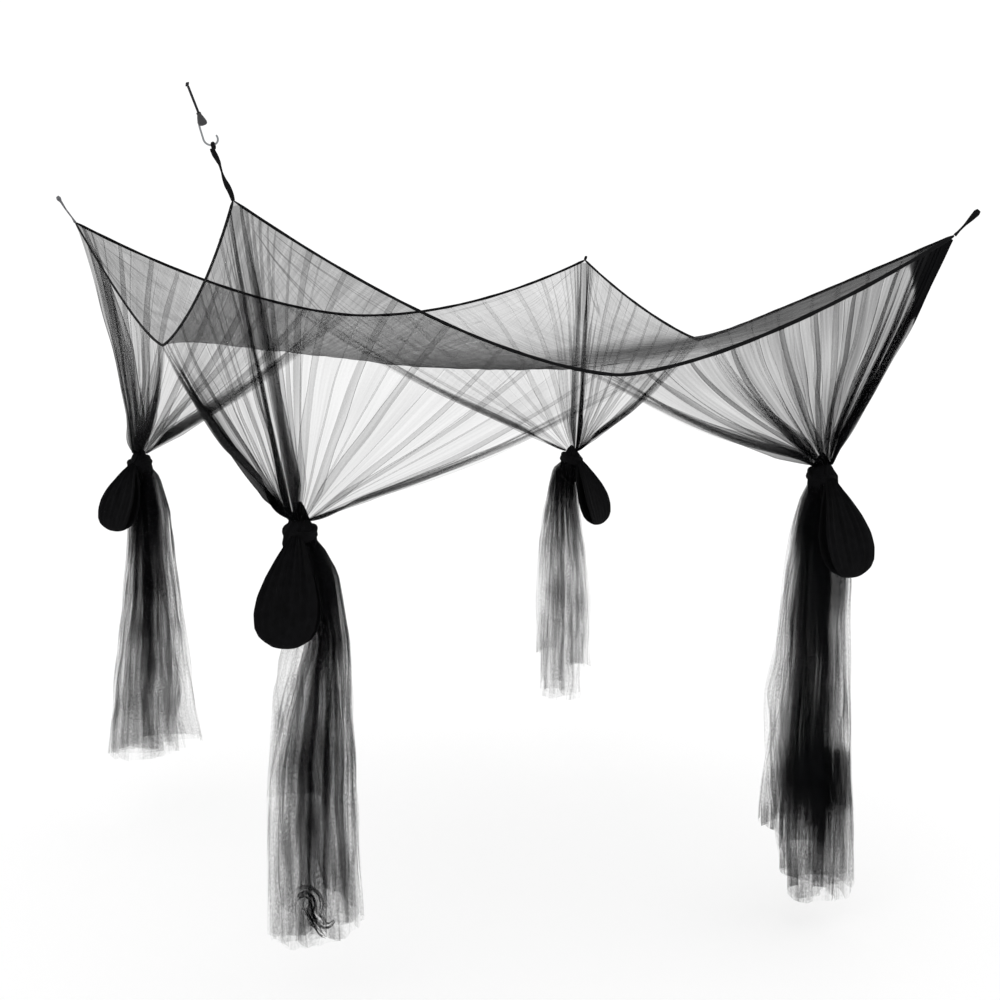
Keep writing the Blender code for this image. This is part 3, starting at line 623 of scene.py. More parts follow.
class Curtain:
    """The shape of one curtain: where each of its points hangs."""

    def __init__(self, name):
        (edge_a, reach_a), (edge_b, reach_b), self.side, knot, self.drop = CURTAINS[name]
        self.name = name
        self.knot = np.array(knot)
        side_x, side_y = CORNERS[name][:2]
        self.out = unit(np.array((side_x, side_y, 0.0)))
        self.out_angle = np.arctan2(side_y, side_x)
        wing_a = self.wing(edge_a, np.linspace(reach_a, RIM_START, RIM_STEPS))
        wing_b = self.wing(edge_b, np.linspace(RIM_START, reach_b, RIM_STEPS))
        middle = corner(name) - UP * CORNER_DROP + self.out * LAYER * self.side
        rim = np.concatenate((wing_a, middle[None], wing_b))
        lengths = run_lengths(rim)
        self.rim, self.width = rim, lengths[-1]
        self.shares = lengths / lengths[-1]
        self.corner_share = self.shares[RIM_STEPS]
        first, last = rim[0] - self.knot, rim[-1] - self.knot
        self.start_angle = np.arctan2(first[1], first[0])
        to_last = (np.arctan2(last[1], last[0]) - self.start_angle) % (2 * pi)
        to_corner = (self.out_angle - self.start_angle) % (2 * pi)
        self.sweep = to_last if to_corner <= to_last else to_last - 2 * pi

    def wing(self, edge, reach):
        share = reach if EDGES[edge][0] == self.name else 1 - reach
        return edge_curve(edge, share) - inward(edge) * LAYER * self.side - UP * RIM_DROP

    def rim_point(self, share):
        return np.stack([np.interp(share, self.shares, self.rim[:, axis]) for axis in range(3)], axis=-1)

    def crowd(self, share, down):
        """Folds draw together at the free ends and at the corner, half way down most of all."""
        strength = CROWDING * np.sin(pi * down)
        first = share < self.corner_share
        span = np.where(first, self.corner_share, 1 - self.corner_share)
        phase = np.where(first, share, share - self.corner_share) / span
        return share - strength * span * np.sin(2 * pi * phase) / (2 * pi)

    def fan(self, share, down):
        """The smooth surface from the roof's edge, down = 0, to the neck, down = 1."""
        share, down = np.broadcast_arrays(share, down)
        moved = self.crowd(share, down)
        rim = self.rim_point(moved)
        angle = self.start_angle + self.sweep * moved
        neck = self.knot + about_upright(NECK_RADIUS, angle, NECK_RISE)
        point = rim + (neck - rim) * down[..., None]
        out = unit(rim * np.array((1, 1, 0)))
        arch = np.sin(pi * np.clip(down, 0, 1))
        point = point + out * (self.side * BILLOW * arch**0.6)[..., None]
        nearness = np.maximum(0.0, 1 - np.minimum(share, 1 - share) / 0.12)
        point[..., 2] -= FREE_END_SAG * nearness * arch**1.5
        swell = CORNER_SWELL[self.name] * near(share - self.corner_share, 0.05) * arch**0.8
        point = point + self.out * swell[..., None]
        return point

    def wing_pleats(self, rng, free_size):
        """Every pleat of one wing, from its free end to the corner."""
        corner_size = END_FOLDS[self.name][0]
        pleats = [(*pleat[:2], *(size * free_size for size in pleat[2:5]), pleat[5]) for pleat in FREE_END]
        for index in range(PLEATS_BETWEEN):
            where = 0.13 + 0.75 * (index + 0.5 + rng.uniform(-0.3, 0.3)) / PLEATS_BETWEEN
            lies = 1 if rng.random() < 0.5 else -1
            if index % 2:
                stands = rng.uniform(0.003, 0.006)
                pleats.append((where, lies, stands, stands, stands, 0.005))
            else:
                stands = rng.uniform(0.015, 0.026)
                pleats.append((where, lies, stands * 0.8, stands, stands * 1.1, 0.006))
        corner_end = BROAD_END if self.name == "back_left" else CORNER_END
        ends = [(*pleat[:2], *(size * corner_size for size in pleat[2:5]), pleat[5]) for pleat in corner_end]
        return pleats + ends

    def pleat_columns(self, rng):
        """For every column of points: share of the rim, height on a pleat, that pleat's lean and sizes."""
        corner_at = self.corner_share
        _, first_size, _, second_size, _ = END_FOLDS[self.name]
        places = [(corner_at * pleat[0], *pleat[1:]) for pleat in self.wing_pleats(rng, first_size)]
        for pleat in self.wing_pleats(rng, second_size):
            places.append((1 - (1 - corner_at) * pleat[0], -pleat[1], *pleat[2:]))
        places.sort()
        flat = (0.0, 0.0, 0.0, 0.0)
        columns = [(0.0, 0.0, 0, flat)]
        before = 0.0
        for where, lies, *sizes in places + [(1.0, 1, *flat)]:
            between = 3 if where - before > 0.012 else 1
            for step in range(1, between + 1):
                columns.append((before + (where - before) * step / (between + 1), 0.0, 0, flat))
            if where == 1.0:
                break
            for step, height in enumerate(CREST):
                offset = PLEAT_GAP * (step - 3) / 3 * (1 - 0.6 * height)
                columns.append((where + offset, height, lies, tuple(sizes)))
            before = where
        columns.append((1.0, 0.0, 0, flat))
        share, height, lean, sizes = (np.array(values, float) for values in zip(*columns))
        return np.clip(share, 0, 1), height, lean, sizes, len(places)

    def closeness(self, share, down, height):
        """How closely the fan is gathered; shares and heights are columns, the way down is a row."""
        corner_at = self.corner_share
        away = np.abs(share - corner_at)
        first, second, fold, fold_top = CLOSENESS[self.name]
        wings = second + (first - second) / (1 + np.exp((share - corner_at) / 0.01))
        at_corner = 1 + fold * near(away, CORNER_REACH[self.name])
        narrowing = np.minimum(1 / (1 - 0.93 * down), 9) ** 0.30
        gather = wings * at_corner * narrowing
        # the dark triangle at the top of the corner's folds
        patch = 0.062 * np.clip(1 - down / 0.36, 0, 1) - away
        gather = gather * (1 + fold_top * np.clip(patch / 0.004 + 0.5, 0, 1) * (down < 0.36))
        # the corner's folds let go between half way and the neck
        near_corner = np.exp(-((away / 0.035) ** 4))
        loose = ramp(down, 0.3, 0.2) * ramp(1.06 - down, 0, 0.2)
        gather = gather * (1 - CORNER_EASE[self.name] * near_corner * loose)
        gather = gather * (1 + TOWARD_CORNER[self.name] * np.clip(1.6 - away / 0.17, 0, 1))
        # pleats that stand alone in the wings are more open
        along_wing = np.minimum(share / corner_at, (1 - share) / (1 - corner_at))
        lone = (height > 0) & (along_wing > 0.12) & (along_wing < 0.86)
        gather = gather * np.where(lone, 0.62, 1.0)
        # the free ends, and the cloth beside them
        _, _, first_close, _, second_close = END_FOLDS[self.name]
        opened = (1 - first_close) * near(share, 0.05) + (1 - second_close) * near(1 - share, 0.05)
        gather = gather * (1 - opened * (1 - down**3))
        first_beside, second_beside, reach = END_GATHER[self.name]
        beside = first_beside * near(share, reach) + second_beside * near(1 - share, reach)
        return gather * (1 + beside * ramp(down, 0.1, 0.4))

    def net_grid(self, rows, seed):
        """The pleated fan: its points, how closely it is gathered, and its creases."""
        share, height, lean, sizes, pleats = self.pleat_columns(np.random.default_rng(seed))
        share, height, lean = share[:, None], height[:, None], lean[:, None]
        down = 1 - (1 - np.linspace(0, 1, rows)) ** 1.15
        step = 0.004
        ahead, behind = (self.fan(np.clip(share + sign * step, 0, 1), down) for sign in (1, -1))
        lower, upper = (self.fan(share, np.clip(down + sign * step, 0, 1)) for sign in (1, -1))
        across, along = unit(ahead - behind), unit(lower - upper)
        normal = unit(np.cross(along, across) if self.sweep > 0 else np.cross(across, along))
        stand = np.stack([np.interp(down, PLEAT_LEVELS, row) for row in sizes])
        stand = stand * (1 + 0.18 * smooth_noise(stand.shape, seed + 3, (pleats, 5)))
        # pleats lie over, and stand up more where they enter the knot
        tilt = radians(82) - radians(45) * ramp(down, 0.8, 0.2) ** 1.5
        raised = normal * np.cos(tilt)[:, None] + across * (lean * np.sin(tilt))[..., None]
        ripple = smooth_noise(stand.shape, seed + 7, (60, 6)) * 0.006 * np.sin(pi * down) ** 0.7
        points = self.fan(share, down) + (stand * height)[..., None] * raised
        points = points + normal * ripple[..., None]
        gather = self.closeness(share, down, height)
        gather = gather * (1 + 0.25 * smooth_noise(stand.shape, seed + 11, (90, 3)))
        crease = np.where(height == 1.0, CREST_CREASE, 0.0) * np.ones(stand.shape)
        crease[0], crease[-1] = EDGE_CREASE, EDGE_CREASE
        return points, gather, crease


# how deep the columns of a fold that turns into the tail lie, on their way in and out
FOLD_IN = (0.1, 0.22, 0.36, 0.5, 0.64, 0.78, 0.9, 1.0, 0.9, 0.78, 0.64, 0.5, 0.36, 0.22, 0.1)
COLUMNS_BETWEEN = 9


def tail_columns(arms, rng):
    """For every column of points: share round the tail, how far in it lies, its fold's turn and number."""
    columns = [(0.0, 0.0, 0.0, 0.0)]
    edges = np.sort((np.arange(arms) + 0.5 + rng.uniform(-0.3, 0.3, arms)) / arms)
    before = 0.0
    for number, where in enumerate([*edges, 1.0]):
        for step in range(COLUMNS_BETWEEN):
            part = (step + 0.5) / COLUMNS_BETWEEN
            columns.append((before + (where - before) * part, 0.0, 0.0, number + part))
        if where == 1.0:
            break
        reach = rng.uniform(0.6, 1.1)
        bend = rng.uniform(0.9, 2.6) * (1 if rng.random() < 0.7 else -1)
        columns += [(where, reach * step, bend * step, number + 1) for step in FOLD_IN]
        before = where
    columns.append((1.0, 0.0, 0.0, arms + 1.0))
    return np.array(columns, float).T


def tail_closeness(curtain, core, down, level, rise):
    """How closely the net is gathered down the tail, and how much more so on the right of the view."""
    outside, within, lost, _, _, by_knot = TAIL_CLOSENESS[curtain.name]
    gather = (outside + (within - outside) * core) * (1.25 - lost * down)
    outer_band, core_band, rightward = read_off(TAIL_BANDS[curtain.name], level)
    if curtain.name == "front_right":
        # the two short panels at its hem
        short = ramp(rise, 0.1, 0.05) * ramp(down, 0.84, 0.03)
        outer_band = outer_band * (1 + 0.9 * short)
    gather = gather * (outer_band + (core_band - outer_band) * core)
    return gather + 9.0 * near(down, 0.19) * (by_knot + 0.5 * core), rightward


def tail_grid(curtain, seed, arms, rows):
    """The cloth below the knot: folds turned in, so that the middle is dark and the sides are sheer."""
    rng = np.random.default_rng(seed)
    base, depth, swirl, fold = tail_columns(arms, rng)[..., None]
    count = len(base)
    shape = (count, rows)
    down = np.linspace(0, 1, rows)
    radius, shift = read_off(TAILS[curtain.name], down)
    lumps = 1 + 0.12 * smooth_noise(shape, seed + 1, (7, 3)) * np.minimum(down * 4, 1)
    wrinkle = smooth_noise(shape, seed + 2, (count // 3, 7)) * 0.005 * np.minimum(down * 6, 1)
    far = radius * lumps * (1 - depth * 0.97) + wrinkle
    turn = TAIL_SWEEP if curtain.sweep > 0 else -TAIL_SWEEP
    wander = 0.13 * smooth_noise(shape, seed + 6, (count // 5, 11)) * np.minimum(down * 3, 1)
    twist = 0.5 * smooth_noise((2, rows), seed + 5, (1, 2))[0]
    angle = curtain.out_angle + turn * (base - curtain.corner_share) + swirl * 0.8 + wander + twist * down
    uneven = 0.004 * smooth_noise((count, 2), seed + 9, (count // 3, 1))[:, :1]
    stagger = 0.010 * rng.uniform(0, 1, arms + 3)[np.rint(fold).astype(int)] * (depth > 0.2)
    rise = read_off(HEMS[curtain.name], base)[0] + uneven + stagger
    drop = (curtain.drop - rise) * down
    points = about_upright(far, angle, -drop)
    # the folds inside are drawn to where the photograph's dark middle is
    _, _, _, middle, core_shift, _ = TAIL_CLOSENESS[curtain.name]
    core = np.clip((depth - 1 + middle) * 4 + 0.5, 0, 1)
    settled = (points * core[..., None]).sum(axis=0) / core.sum()
    settled[:, 2] = 0
    settled = settled - VIEW_RIGHT * (core_shift * np.clip((down - 0.2) * 4, 0, 1))[:, None]
    points = points - settled * core[..., None]
    points = curtain.knot + points + VIEW_RIGHT * shift[:, None]
    gather, rightward = tail_closeness(curtain, core, down, drop / curtain.drop, rise)
    across_view = far / radius * (np.cos(angle) * VIEW_RIGHT[0] + np.sin(angle) * VIEW_RIGHT[1])
    streaks = np.exp(1.5 * smooth_noise(shape, seed + 13, (count // 2, 7)) - 0.2)
    gather = gather * streaks * (1 + rightward * across_view)
    crease = np.zeros(shape)
    crease[0], crease[-1] = TAIL_EDGE_CREASE, TAIL_EDGE_CREASE
    return points, gather, crease


# knot: height above its middle and radius there, from the top down
KNOT_PROFILE = ((0.070, 0.003), (0.058, 0.010), (0.044, 0.016), (0.030, 0.021), (0.016, 0.026), (0.0, 0.034))
KNOT_PROFILE += ((-0.024, 0.036), (-0.044, 0.032), (-0.062, 0.028), (-0.090, 0.004))

# share of that height that stands above each knot
KNOT_TOPS = {"front_left": 1.0, "front_right": 0.85, "back_right": 0.66, "back_left": 0.8}

# the turn of cloth round the knot: its radius, its thickness, and how it is tipped
WRAP_RADIUS = 0.028
WRAP_THICKNESS = 0.0120
WRAP_TIP = radians(20)


def make_knot(curtain, seed):
    """The tied bunch: cloth drawn in from above and let go below, with one turn of it round the middle."""
    heights, radii = np.array(KNOT_PROFILE).T
    level = np.linspace(0, 1, 34)
    stations = np.linspace(0, 1, len(heights))
    z = np.interp(level, stations, heights)
    z = np.where(z > 0, z * KNOT_TOPS[curtain.name], z)
    r = np.interp(level, stations, radii)
    angle = np.linspace(0, 2 * pi, 73)
    swirl = angle[:, None] + 1.1 * level[None, :]
    ridges = 0.06 * np.sin(11 * swirl + seed) + 0.05 * np.sin(17 * swirl + 2 * seed)
    lumps = 0.10 * np.sin(2 * angle[:, None] + seed) + 0.07 * np.sin(3 * angle[:, None] - 4 * level[None, :])
    r = r[None, :] * (1 + ridges + lumps)
    points = curtain.knot + about_upright(r, angle[:, None], z)
    core, _, _ = grid_piece(points, close_columns=True)
    return join_pieces(core, [make_wrap(curtain, seed)])


def make_wrap(curtain, seed):
    """The turn of cloth round the bunch, tipped toward the bow loop."""
    heading = radians(LOOPS[curtain.name][0])
    lean = np.array((cos(heading), sin(heading), 0.0))
    flat = np.array((-lean[1], lean[0], 0.0))
    tipped = lean * cos(WRAP_TIP) - UP * sin(WRAP_TIP)
    major = np.linspace(0, 2 * pi, 73)
    minor = np.linspace(0, 2 * pi, 37)
    thick = WRAP_THICKNESS * (1 + 0.13 * np.sin(5 * minor[None, :] + 2.2 * major[:, None] + seed))
    thick = thick * (1 + 0.16 * np.sin(3 * major[:, None] + seed))
    reach = WRAP_RADIUS + thick * np.cos(minor)
    rise = 1.25 * thick * np.sin(minor)
    return ring_piece(curtain.knot - UP * 0.002, tipped, flat, np.cross(tipped, flat), major, reach, rise)


# how far down the loop, and the share of its full width there
LOOP_SPREAD = ((0.0, 0.0), (0.10, 0.20), (0.25, 0.48), (0.42, 0.76), (0.60, 0.96), (0.75, 1.0))
LOOP_SPREAD += ((0.88, 0.92), (0.95, 0.76), (0.985, 0.55), (1.0, 0.40))
LOOP_ROOT = (0.026, 0.024)  # width and thickness where it leaves the knot
LOOP_THIN = 0.012  # thickness at its widest


def make_bow_loop(curtain, seed):
    """The open loop that hangs out of the knot, one band of folded net."""
    heading, tilt, length, width, half_opening = LOOPS[curtain.name]
    heading, tilt = radians(heading), radians(tilt)
    out = np.array((cos(heading), sin(heading), 0.0))
    root = curtain.knot + out * 0.028 - UP * 0.012
    axis = out * sin(tilt) - UP * cos(tilt)
    gape = out * cos(tilt) + UP * sin(tilt)
    broad = np.cross(axis, gape)
    round_loop = np.linspace(0, 2 * pi, 81)
    section = np.linspace(0, 2 * pi, 61)
    along_share = (1 - np.cos(round_loop)) / 2
    spread = read_off(LOOP_SPREAD, along_share)[0]
    along = length * along_share
    opening = half_opening * np.sin(round_loop) * np.sin(round_loop / 2) ** 0.6
    centre = root + axis * along[:, None] + gape * opening[:, None]
    forward = np.gradient(centre, axis=0)
    forward[0] = forward[-1] = centre[1] - centre[-2]
    through = unit(np.cross(forward, broad))
    root_width, root_thick = LOOP_ROOT
    half = (root_width + (width - root_width) * spread) / 2
    half = half * (1 + 0.03 * np.sin(3 * round_loop + seed))
    thin = (root_thick - (root_thick - LOOP_THIN) * spread) / 2
    across = half[:, None] * np.cos(section)[None, :]
    pleats = 0.0030 * np.sin(9 * np.cos(section)[None, :] * 2.4 + 1.5 * np.sin(round_loop)[:, None] + seed)
    pleats = pleats + 0.0012 * np.sin(31 * np.cos(section)[None, :] + seed)
    pleats = pleats * (1 - along_share**5)[:, None]
    depth = thin[:, None] * np.sin(section)[None, :] + pleats * np.abs(np.sin(section))[None, :] ** 0.3
    curl = 0.012 * (np.cos(section)[None, :] ** 2) * np.sin(round_loop)[:, None]
    points = centre[:, None, :] + broad * across[..., None] + through[:, None, :] * (depth - curl)[..., None]
    return grid_piece(points, close_columns=True, close_rows=True)[0]


# the curl near the left front hem: to the right of the knot, below it, half width there
CURL = (
    ((-0.004, 0.826, 0.002), (0.004, 0.815, 0.006), (0.016, 0.811, 0.008), (0.030, 0.820, 0.009))
    + ((0.034, 0.838, 0.010), (0.030, 0.856, 0.011), (0.040, 0.874, 0.012), (0.056, 0.888, 0.010))
    + ((0.070, 0.886, 0.006), (0.080, 0.874, 0.003)),
    ((-0.006, 0.800, 0.001), (0.010, 0.792, 0.003), (0.030, 0.796, 0.005), (0.048, 0.812, 0.006))
    + ((0.054, 0.834, 0.006), (0.050, 0.858, 0.004), (0.060, 0.880, 0.002)),
    ((0.014, 0.842, 0.001), (0.022, 0.858, 0.005), (0.034, 0.880, 0.007), (0.048, 0.902, 0.006))
    + ((0.062, 0.912, 0.001),),
)
CURL_STRANDS = 5


def make_curl(curtain):
    """Twists of net caught on the face of the tail, just above its hem."""
    toward = np.cross(VIEW_RIGHT, UP)
    places = [(twist, strand) for twist in range(len(CURL)) for strand in range(CURL_STRANDS)]
    strands = []
    for number, (twist, strand) in enumerate(places):
        steps = np.linspace(0, 1, 81)
        line = np.array(CURL[twist])
        stations = np.linspace(0, 1, len(line))
        line = np.stack([np.interp(steps, stations, column) for column in line.T], axis=-1)
        for _ in range(6):
            line[1:-1] = (line[2:] + line[:-2] + 2 * line[1:-1]) / 4
        across, below, half = line.T
        beside = (strand - (CURL_STRANDS - 1) / 2) / (CURL_STRANDS / 2)
        beside = beside + 0.25 * np.sin(steps * 9 + 2 * number)
        slope = unit(np.stack((np.gradient(below), -np.gradient(across)), axis=-1))
        across = across + half * beside * slope[:, 0]
        below = below + half * beside * slope[:, 1]
        lift = 0.106 + 0.003 * twist + 0.004 * np.sin(steps * 7 + 1.3 * number)
        path = curtain.knot + VIEW_RIGHT * across[:, None] + toward * lift[:, None]
        path[:, 2] -= below
        made = band_piece(path, toward + 0.3 * VIEW_RIGHT, half * 0.30, half * 0.26, sides=10)
        count = len(made.data.vertices)
        put_attribute(made, "gather", np.full(count, 8.0))
        put_attribute(made, "crease", np.zeros(count))
        where = np.zeros(count * 3)
        made.data.vertices.foreach_get("co", where)
        where = where.reshape(-1, 3)
        put_uv(made, "cloth", where[:, 0], where[:, 2])
        made.data.materials.append(tail_net)
        strands.append(made)
    return join_pieces(strands[0], strands[1:])


def make_curtain(name, seed, arms):
    curtain = Curtain(name)
    fan, _, _ = net_piece(*curtain.net_grid(CLOTH_ROWS, seed))
    fan.data.materials.append(curtain_net)
    tail, _, _ = net_piece(*tail_grid(curtain, seed + 40, arms, CLOTH_ROWS))
    tail.data.materials.append(tail_net)
    cloth = join_pieces(fan, [tail] + ([make_curl(curtain)] if name == "front_left" else []))
    finish_piece(cloth, "net_" + name, None)
    knot = make_knot(curtain, seed)
    bunch = join_pieces(knot, [make_bow_loop(curtain, seed)])
    finish_piece(bunch, "knot_" + name, gathered_net)
    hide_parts("curtain_" + name)
    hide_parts("curtain_" + name)


make_curtain("front_left", 1, 13)
make_curtain("front_right", 2, 16)
make_curtain("back_right", 3, 13)
make_curtain("back_left", 4, 14)


# Roof and its binding

# binding: half height at its two ends, half thickness and the width of its tape before folding
BINDINGS = {
    "front": (0.0030, 0.0050, 0.0030, 0.014),
    "back": (0.0044, 0.0044, 0.0028, 0.013),
    "left": (0.0040, 0.0040, 0.0028, 0.013),
    "right": (0.0042, 0.0042, 0.0028, 0.013),
}
ROOF_FINE = 144


def settled_heights(cells):
    """Heights of the roof's grid: fixed at its edges, hanging under its own weight between them."""
    height = None
    for level in (cells // 8, cells // 4, cells // 2, cells):
        stations = np.linspace(0, 1, level + 1)
        finer = np.zeros((level + 1, level + 1))
        if height is not None:
            old = np.linspace(0, 1, height.shape[0])
            rows = np.stack([np.interp(stations, old, line) for line in height])
            finer = np.stack([np.interp(stations, old, line) for line in rows.T]).T
        finer[:, 0], finer[:, -1] = edge_curve("front", stations)[:, 2], edge_curve("back", stations)[:, 2]
        finer[0, :], finer[-1, :] = edge_curve("left", stations)[:, 2], edge_curve("right", stations)[:, 2]
        if height is None:
            finer[1:-1, 1:-1] = -0.25
        height = finer
        load = ROOF_SAG / (4 * level * level)
        for _ in range(1500):
            around = height[2:, 1:-1] + height[:-2, 1:-1] + height[1:-1, 2:] + height[1:-1, :-2]
            height[1:-1, 1:-1] = around / 4 - load
    return height


def roof_points(share):
    """The roof's grid of points, settled between its edges and slightly rippled, and its right part."""
    height = settled_heights(ROOF_FINE)
    across, along = share[:, None, None], share[None, :, None]
    front, back = edge_curve("front", share)[:, None], edge_curve("back", share)[:, None]
    left, right = edge_curve("left", share)[None], edge_curve("right", share)[None]
    points = front * (1 - along) + back * along + left * (1 - across) + right * across
    corners = [corner(name) for name in ("front_left", "front_right", "back_left", "back_right")]
    near = corners[0] * (1 - across) + corners[1] * across
    far = corners[2] * (1 - across) + corners[3] * across
    points = points - (near * (1 - along) + far * along)
    right_part = ramp(share, 0.6, 0.2)[:, None] * ramp(0.62 - share, 0, 0.2)
    ripple = 0.0035 * smooth_noise(height.shape, 21, (46, 46))
    ripple = ripple + 0.006 * smooth_noise(height.shape, 22, (14, 14))
    inside = np.minimum(share, 1 - share)
    calm = ramp(np.minimum(inside[:, None], inside), 0, 0.05)
    points[..., 2] = height + ripple * (0.6 - 0.35 * right_part) * calm
    return points, right_part


def roof_closeness(share, right_part):
    """How closely the roof's net is drawn together: most on its right and in its middle."""
    across, along = share[:, None], share
    back_part = ramp(across, 0, 0.2) * ramp(along, 0.5, 0.4)
    middle_part = near(across - 0.55, 0.25) * near(along - 0.35, 0.25)
    far_part = ramp(across, 0.7, 0.2) * ramp(along, 0.6, 0.15)
    gather = 9.6 - 4.0 * back_part - 2.5 * far_part + 20 * right_part + 11 * middle_part
    return gather * (1 + 0.12 * smooth_noise(gather.shape, 23, (30, 30)))


def make_roof():
    share = np.linspace(0, 1, ROOF_FINE + 1)
    points, right_part = roof_points(share)
    gather = roof_closeness(share, right_part)
    roof, column, row = net_piece(points, gather, np.zeros(gather.shape))
    # a second map for the creases: the angle round the nearest corner, and the distance from it
    distances = np.stack([np.linalg.norm((points - corner(name))[..., :2], axis=-1) for name in CORNERS])
    nearest = distances.argmin(axis=0)
    middles = np.array([corner(name) for name in CORNERS])[nearest]
    toward = (points - middles) * -np.sign(middles)
    lean = np.arctan2(toward[..., 1], toward[..., 0])
    put_uv(roof, "rays", (lean + 7.3 * nearest)[column, row], distances.min(axis=0)[column, row])
    finish_piece(roof, "roof_net_panel", roof_net)
    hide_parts("roof_panel")


def make_binding(edge):
    share = np.linspace(0.0015, 0.9985, 181)
    path = edge_curve(edge, share)
    first_high, last_high, thick, tape_width = BINDINGS[edge]
    high = first_high + (last_high - first_high) * ramp(share, 0.1, 0.6)
    high = high * (1 + 0.07 * np.sin(share * 61 + len(edge)) + 0.05 * np.sin(share * 147))
    taper = np.minimum(1, 0.45 + np.minimum(share, 1 - share) / 0.02)
    made = band_piece(path, UP, high * taper, thick * taper, sides=14, ridges=0.12, ridge_count=4)
    finish_piece(made, "tape_" + edge, black_tape, 50)
    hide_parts("binding_" + edge)


make_roof()
for edge_name in EDGES:
    make_binding(edge_name)


# Ties, ribbon, hook and cone

# distance from the corner, half width, half thickness, turn in degrees
RIBBON_FRONT_LEFT = ((0.0, 0.004, 0.004, 0), (0.010, 0.005, 0.003, 10), (0.035, 0.006, 0.0022, 30))
RIBBON_FRONT_LEFT += ((0.060, 0.0045, 0.0018, 75), (0.072, 0.003, 0.0020, 105), (0.090, 0.0055, 0.0020, 150))
RIBBON_FRONT_LEFT += ((0.108, 0.006, 0.0024, 180), (0.123, 0.005, 0.0024, 180))
TIE_FRONT_RIGHT = ((0.0, 0.004, 0.004, 0), (0.015, 0.005, 0.0022, 20), (0.035, 0.0045, 0.0022, 45))
TIE_FRONT_RIGHT += ((0.055, 0.0075, 0.003, 60), (0.075, 0.010, 0.004, 60), (0.083, 0.006, 0.0035, 60))
TIE_BACK_LEFT = ((0.0, 0.004, 0.004, 0), (0.020, 0.0045, 0.0020, 30), (0.060, 0.0038, 0.0020, 70))
TIE_BACK_LEFT += ((0.085, 0.0042, 0.0024, 90), (0.096, 0.008, 0.006, 90), (0.104, 0.0055, 0.0045, 90))
TAB_BACK_RIGHT = ((0.0, 0.004, 0.004, 0), (0.009, 0.0055, 0.003, 0), (0.017, 0.0045, 0.0025, 0))
EYE_RADIUS = 0.0062
EYE_THICKNESS = 0.0021
EYE_SIDE = 0.0035
HOOK_SHANK = ((0.060, -0.0060), (0.046, -0.0088))
HOOK_BEND = 0.0145
HOOK_WIRE = 0.0020


def ribbon_piece(root, pull, side, stations):
    """A flat ribbon that twists as it goes, fine enough to show its turns and its ribs."""
    distance = np.linspace(stations[0][0], stations[-1][0], 61)
    half_width, half_thick, turn = read_off(stations, distance)
    other = unit(np.cross(pull, side))
    turn = np.radians(turn)
    across = side * np.cos(turn)[:, None] + other * np.sin(turn)[:, None]
    bow = 0.0012 * np.sin(distance * 90)[:, None] * side
    path = root + pull * distance[:, None] + bow
    return band_piece(path, across, half_width, half_thick, sides=20, ridges=0.22, ridge_count=6)


def make_tie(name, node_name, corner_name, pull, stations, flat, slot_name, material):
    pull = unit(np.array(pull))
    side = unit(np.cross(pull, UP))
    made = ribbon_piece(corner(corner_name), pull, side, stations)
    finish_piece(made, name, material, 60)
    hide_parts(node_name)


def make_hanging_ribbon():
    body = ribbon_piece(corner("front_left"), PULL, SIDE, RIBBON_FRONT_LEFT)
    centre = corner("front_left") + PULL * HOOK_SEAT + SIDE * EYE_SIDE
    angle = np.linspace(0, 2 * pi, 49)
    roll = np.linspace(0, 2 * pi, 17)
    reach = EYE_RADIUS + EYE_THICKNESS * np.cos(roll)[None, :] * (1 + 0.1 * np.sin(4 * roll))
    rise = EYE_THICKNESS * 1.6 * np.sin(roll)
    made = join_pieces(body, [ring_piece(centre, PULL, FORE, SIDE, angle, reach, rise)])
    finish_piece(made, "corner_ribbon", black_tape, 60)
    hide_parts("ribbon_front_left")


def make_hook():
    wire_seat = EYE_RADIUS - EYE_THICKNESS - HOOK_WIRE - SEAT
    route = [tackle_point(*HOOK_SHANK[0]), tackle_point(*HOOK_SHANK[1])]
    for step in range(49):
        angle = pi + pi * 1.12 * step / 48
        rise = wire_seat + HOOK_BEND * (1 + sin(angle))
        route.append(tackle_point(rise, EYE_SIDE + HOOK_BEND * cos(angle)))
    rounded = [route[0]]
    low, bend, away = route[0], route[1], route[2]
    for step in range(9):
        share = step / 8
        before, after = low * 0.25 + bend * 0.75, bend * 0.75 + away * 0.25
        rounded.append(before * (1 - share) ** 2 + bend * 2 * share * (1 - share) + after * share**2)
    route = rounded + route[2:]
    radii = [1.0] * (len(route) - 2) + [0.92, 0.7]
    hook = tube_piece(route, HOOK_WIRE, sides=16, radii=radii)
    finish_piece(hook, "wire_hook", bright_wire, 50)
    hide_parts("hanging_hook")


# clamp: height along the pull and radius there, as a share of the full radius
CONE_PROFILE = ((0.0, 0.80), (0.0, 0.90), (0.0008, 0.96), (0.0030, 1.0), (0.0050, 0.97), (0.0056, 0.93))
CONE_PROFILE += ((0.0062, 0.95), (0.0080, 0.92), (0.0160, 0.68), (0.0200, 0.52), (0.0215, 0.46))
CONE_PROFILE += ((0.0222, 0.50), (0.0250, 0.50), (0.0260, 0.44))
CONE_RADIUS = 0.0095


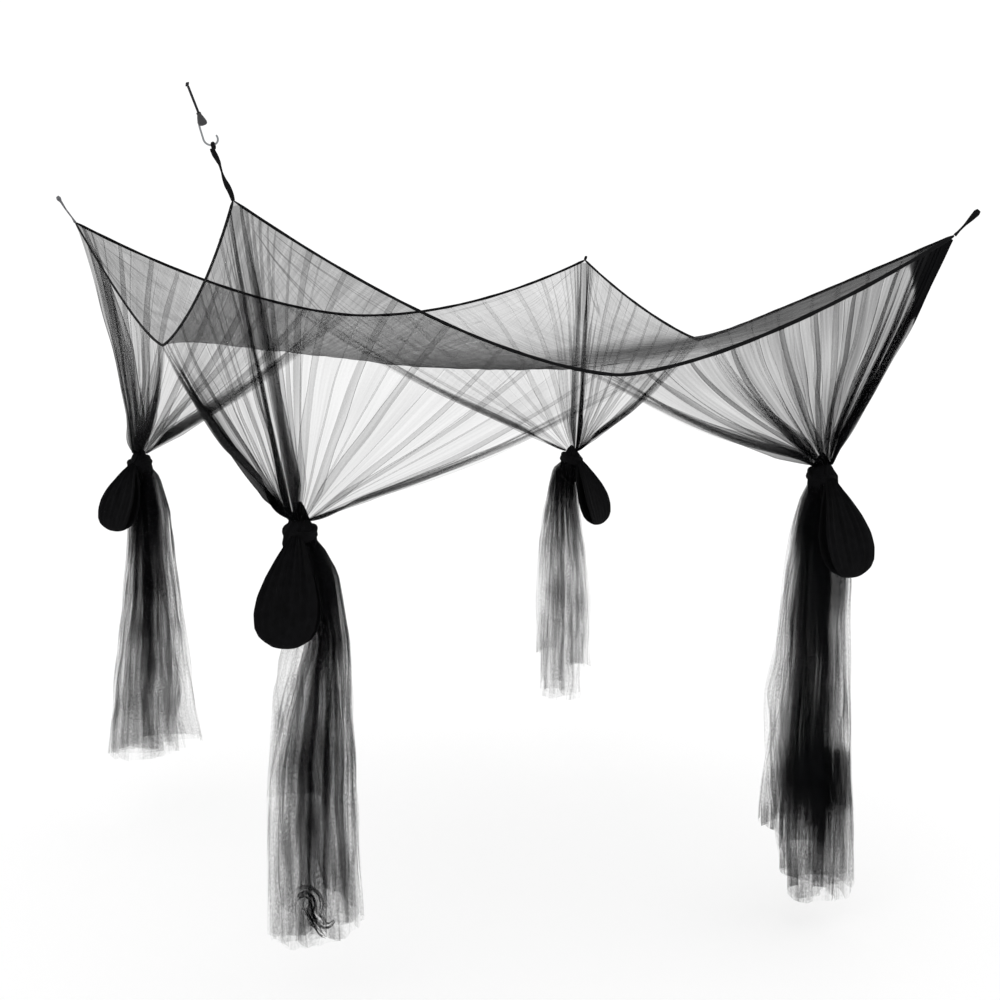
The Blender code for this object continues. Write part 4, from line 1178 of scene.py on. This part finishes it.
def make_cone():
    base_radius = CONE_RADIUS * CONE_PROFILE[0][1]
    bpy.ops.mesh.primitive_circle_add(vertices=40, radius=base_radius, fill_type="NGON", location=(0, 0, 0))
    cone = bpy.context.object
    bpy.ops.object.mode_set(mode="EDIT")
    bpy.ops.mesh.select_all(action="SELECT")
    for (low, narrow), (high, wide) in zip(CONE_PROFILE, CONE_PROFILE[1:]):
        bpy.ops.mesh.extrude_region_move(TRANSFORM_OT_translate={"value": (0, 0, high - low)})
        bpy.ops.transform.resize(value=(wide / narrow, wide / narrow, 1))
    bpy.ops.object.mode_set(mode="OBJECT")
    bpy.ops.mesh.primitive_torus_add(
        location=(0, 0, 0.0056), major_segments=40, minor_segments=8, major_radius=0.0089, minor_radius=0.0007
    )
    collar = bpy.context.object
    cone = join_pieces(cone, [collar])
    stand_along_pull(cone, tackle_point(CONE_BASE, 0), np.diag((1, 0.8, 1)))
    finish_piece(cone, "cord_clamp", black_plastic, 40)
    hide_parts("hook_cone")


make_hanging_ribbon()
# tie: its name, node, corner, the way it is pulled, its shape, size laid flat, slot and finish
TIES = (
    ("tie_strap_right", "tie_front_right", "front_right", (0.48, -0.48, 0.73))
    + (TIE_FRONT_RIGHT, (0.018, 0.09), "tape", black_tape),
    ("tie_strap_left", "tie_back_left", "back_left", (-0.44, 0.44, 0.78))
    + (TIE_BACK_LEFT, (0.014, 0.11), "grey_tape", grey_tape),
    ("tie_stub_right", "tab_back_right", "back_right", (0.40, 0.40, 0.82))
    + (TAB_BACK_RIGHT, (0.015, 0.02), "tape", black_tape),
)
for tie in TIES:
    make_tie(*tie)
make_hook()
make_cone()


# Floor and light

FLOOR_LEVEL = -1.86


def make_studio():
    world = bpy.data.worlds.new("soft_white")
    bpy.context.scene.world = world
    world.use_nodes = True
    feed(world.node_tree, world.node_tree.nodes["Background"], {"Color": (1, 1, 1, 1), "Strength": 1.06})
    bpy.ops.mesh.primitive_plane_add(size=60, location=(0, 0, FLOOR_LEVEL - TOP[2]))
    floor = bpy.context.object
    floor.name = "floor"
    grey = {"Base_Color": (0.45, 0.45, 0.45, 1), "Roughness": 1.0, "Specular_IOR_Level": 0.0}
    made, _, _ = new_material("pale_floor", Emission_Color=(1, 1, 1, 1), Emission_Strength=0.55, **grey)
    floor.data.materials.append(made)
    bpy.ops.object.light_add(type="SUN", rotation=(radians(25), radians(-20), 0))
    sun = bpy.context.object
    sun.name = "wide_light"
    sun.data.energy = 0.25
    sun.data.angle = radians(40)


make_studio()
scene = bpy.context.scene
scene.view_settings.view_transform = "Standard"
scene.cycles.transparent_max_bounces = 64
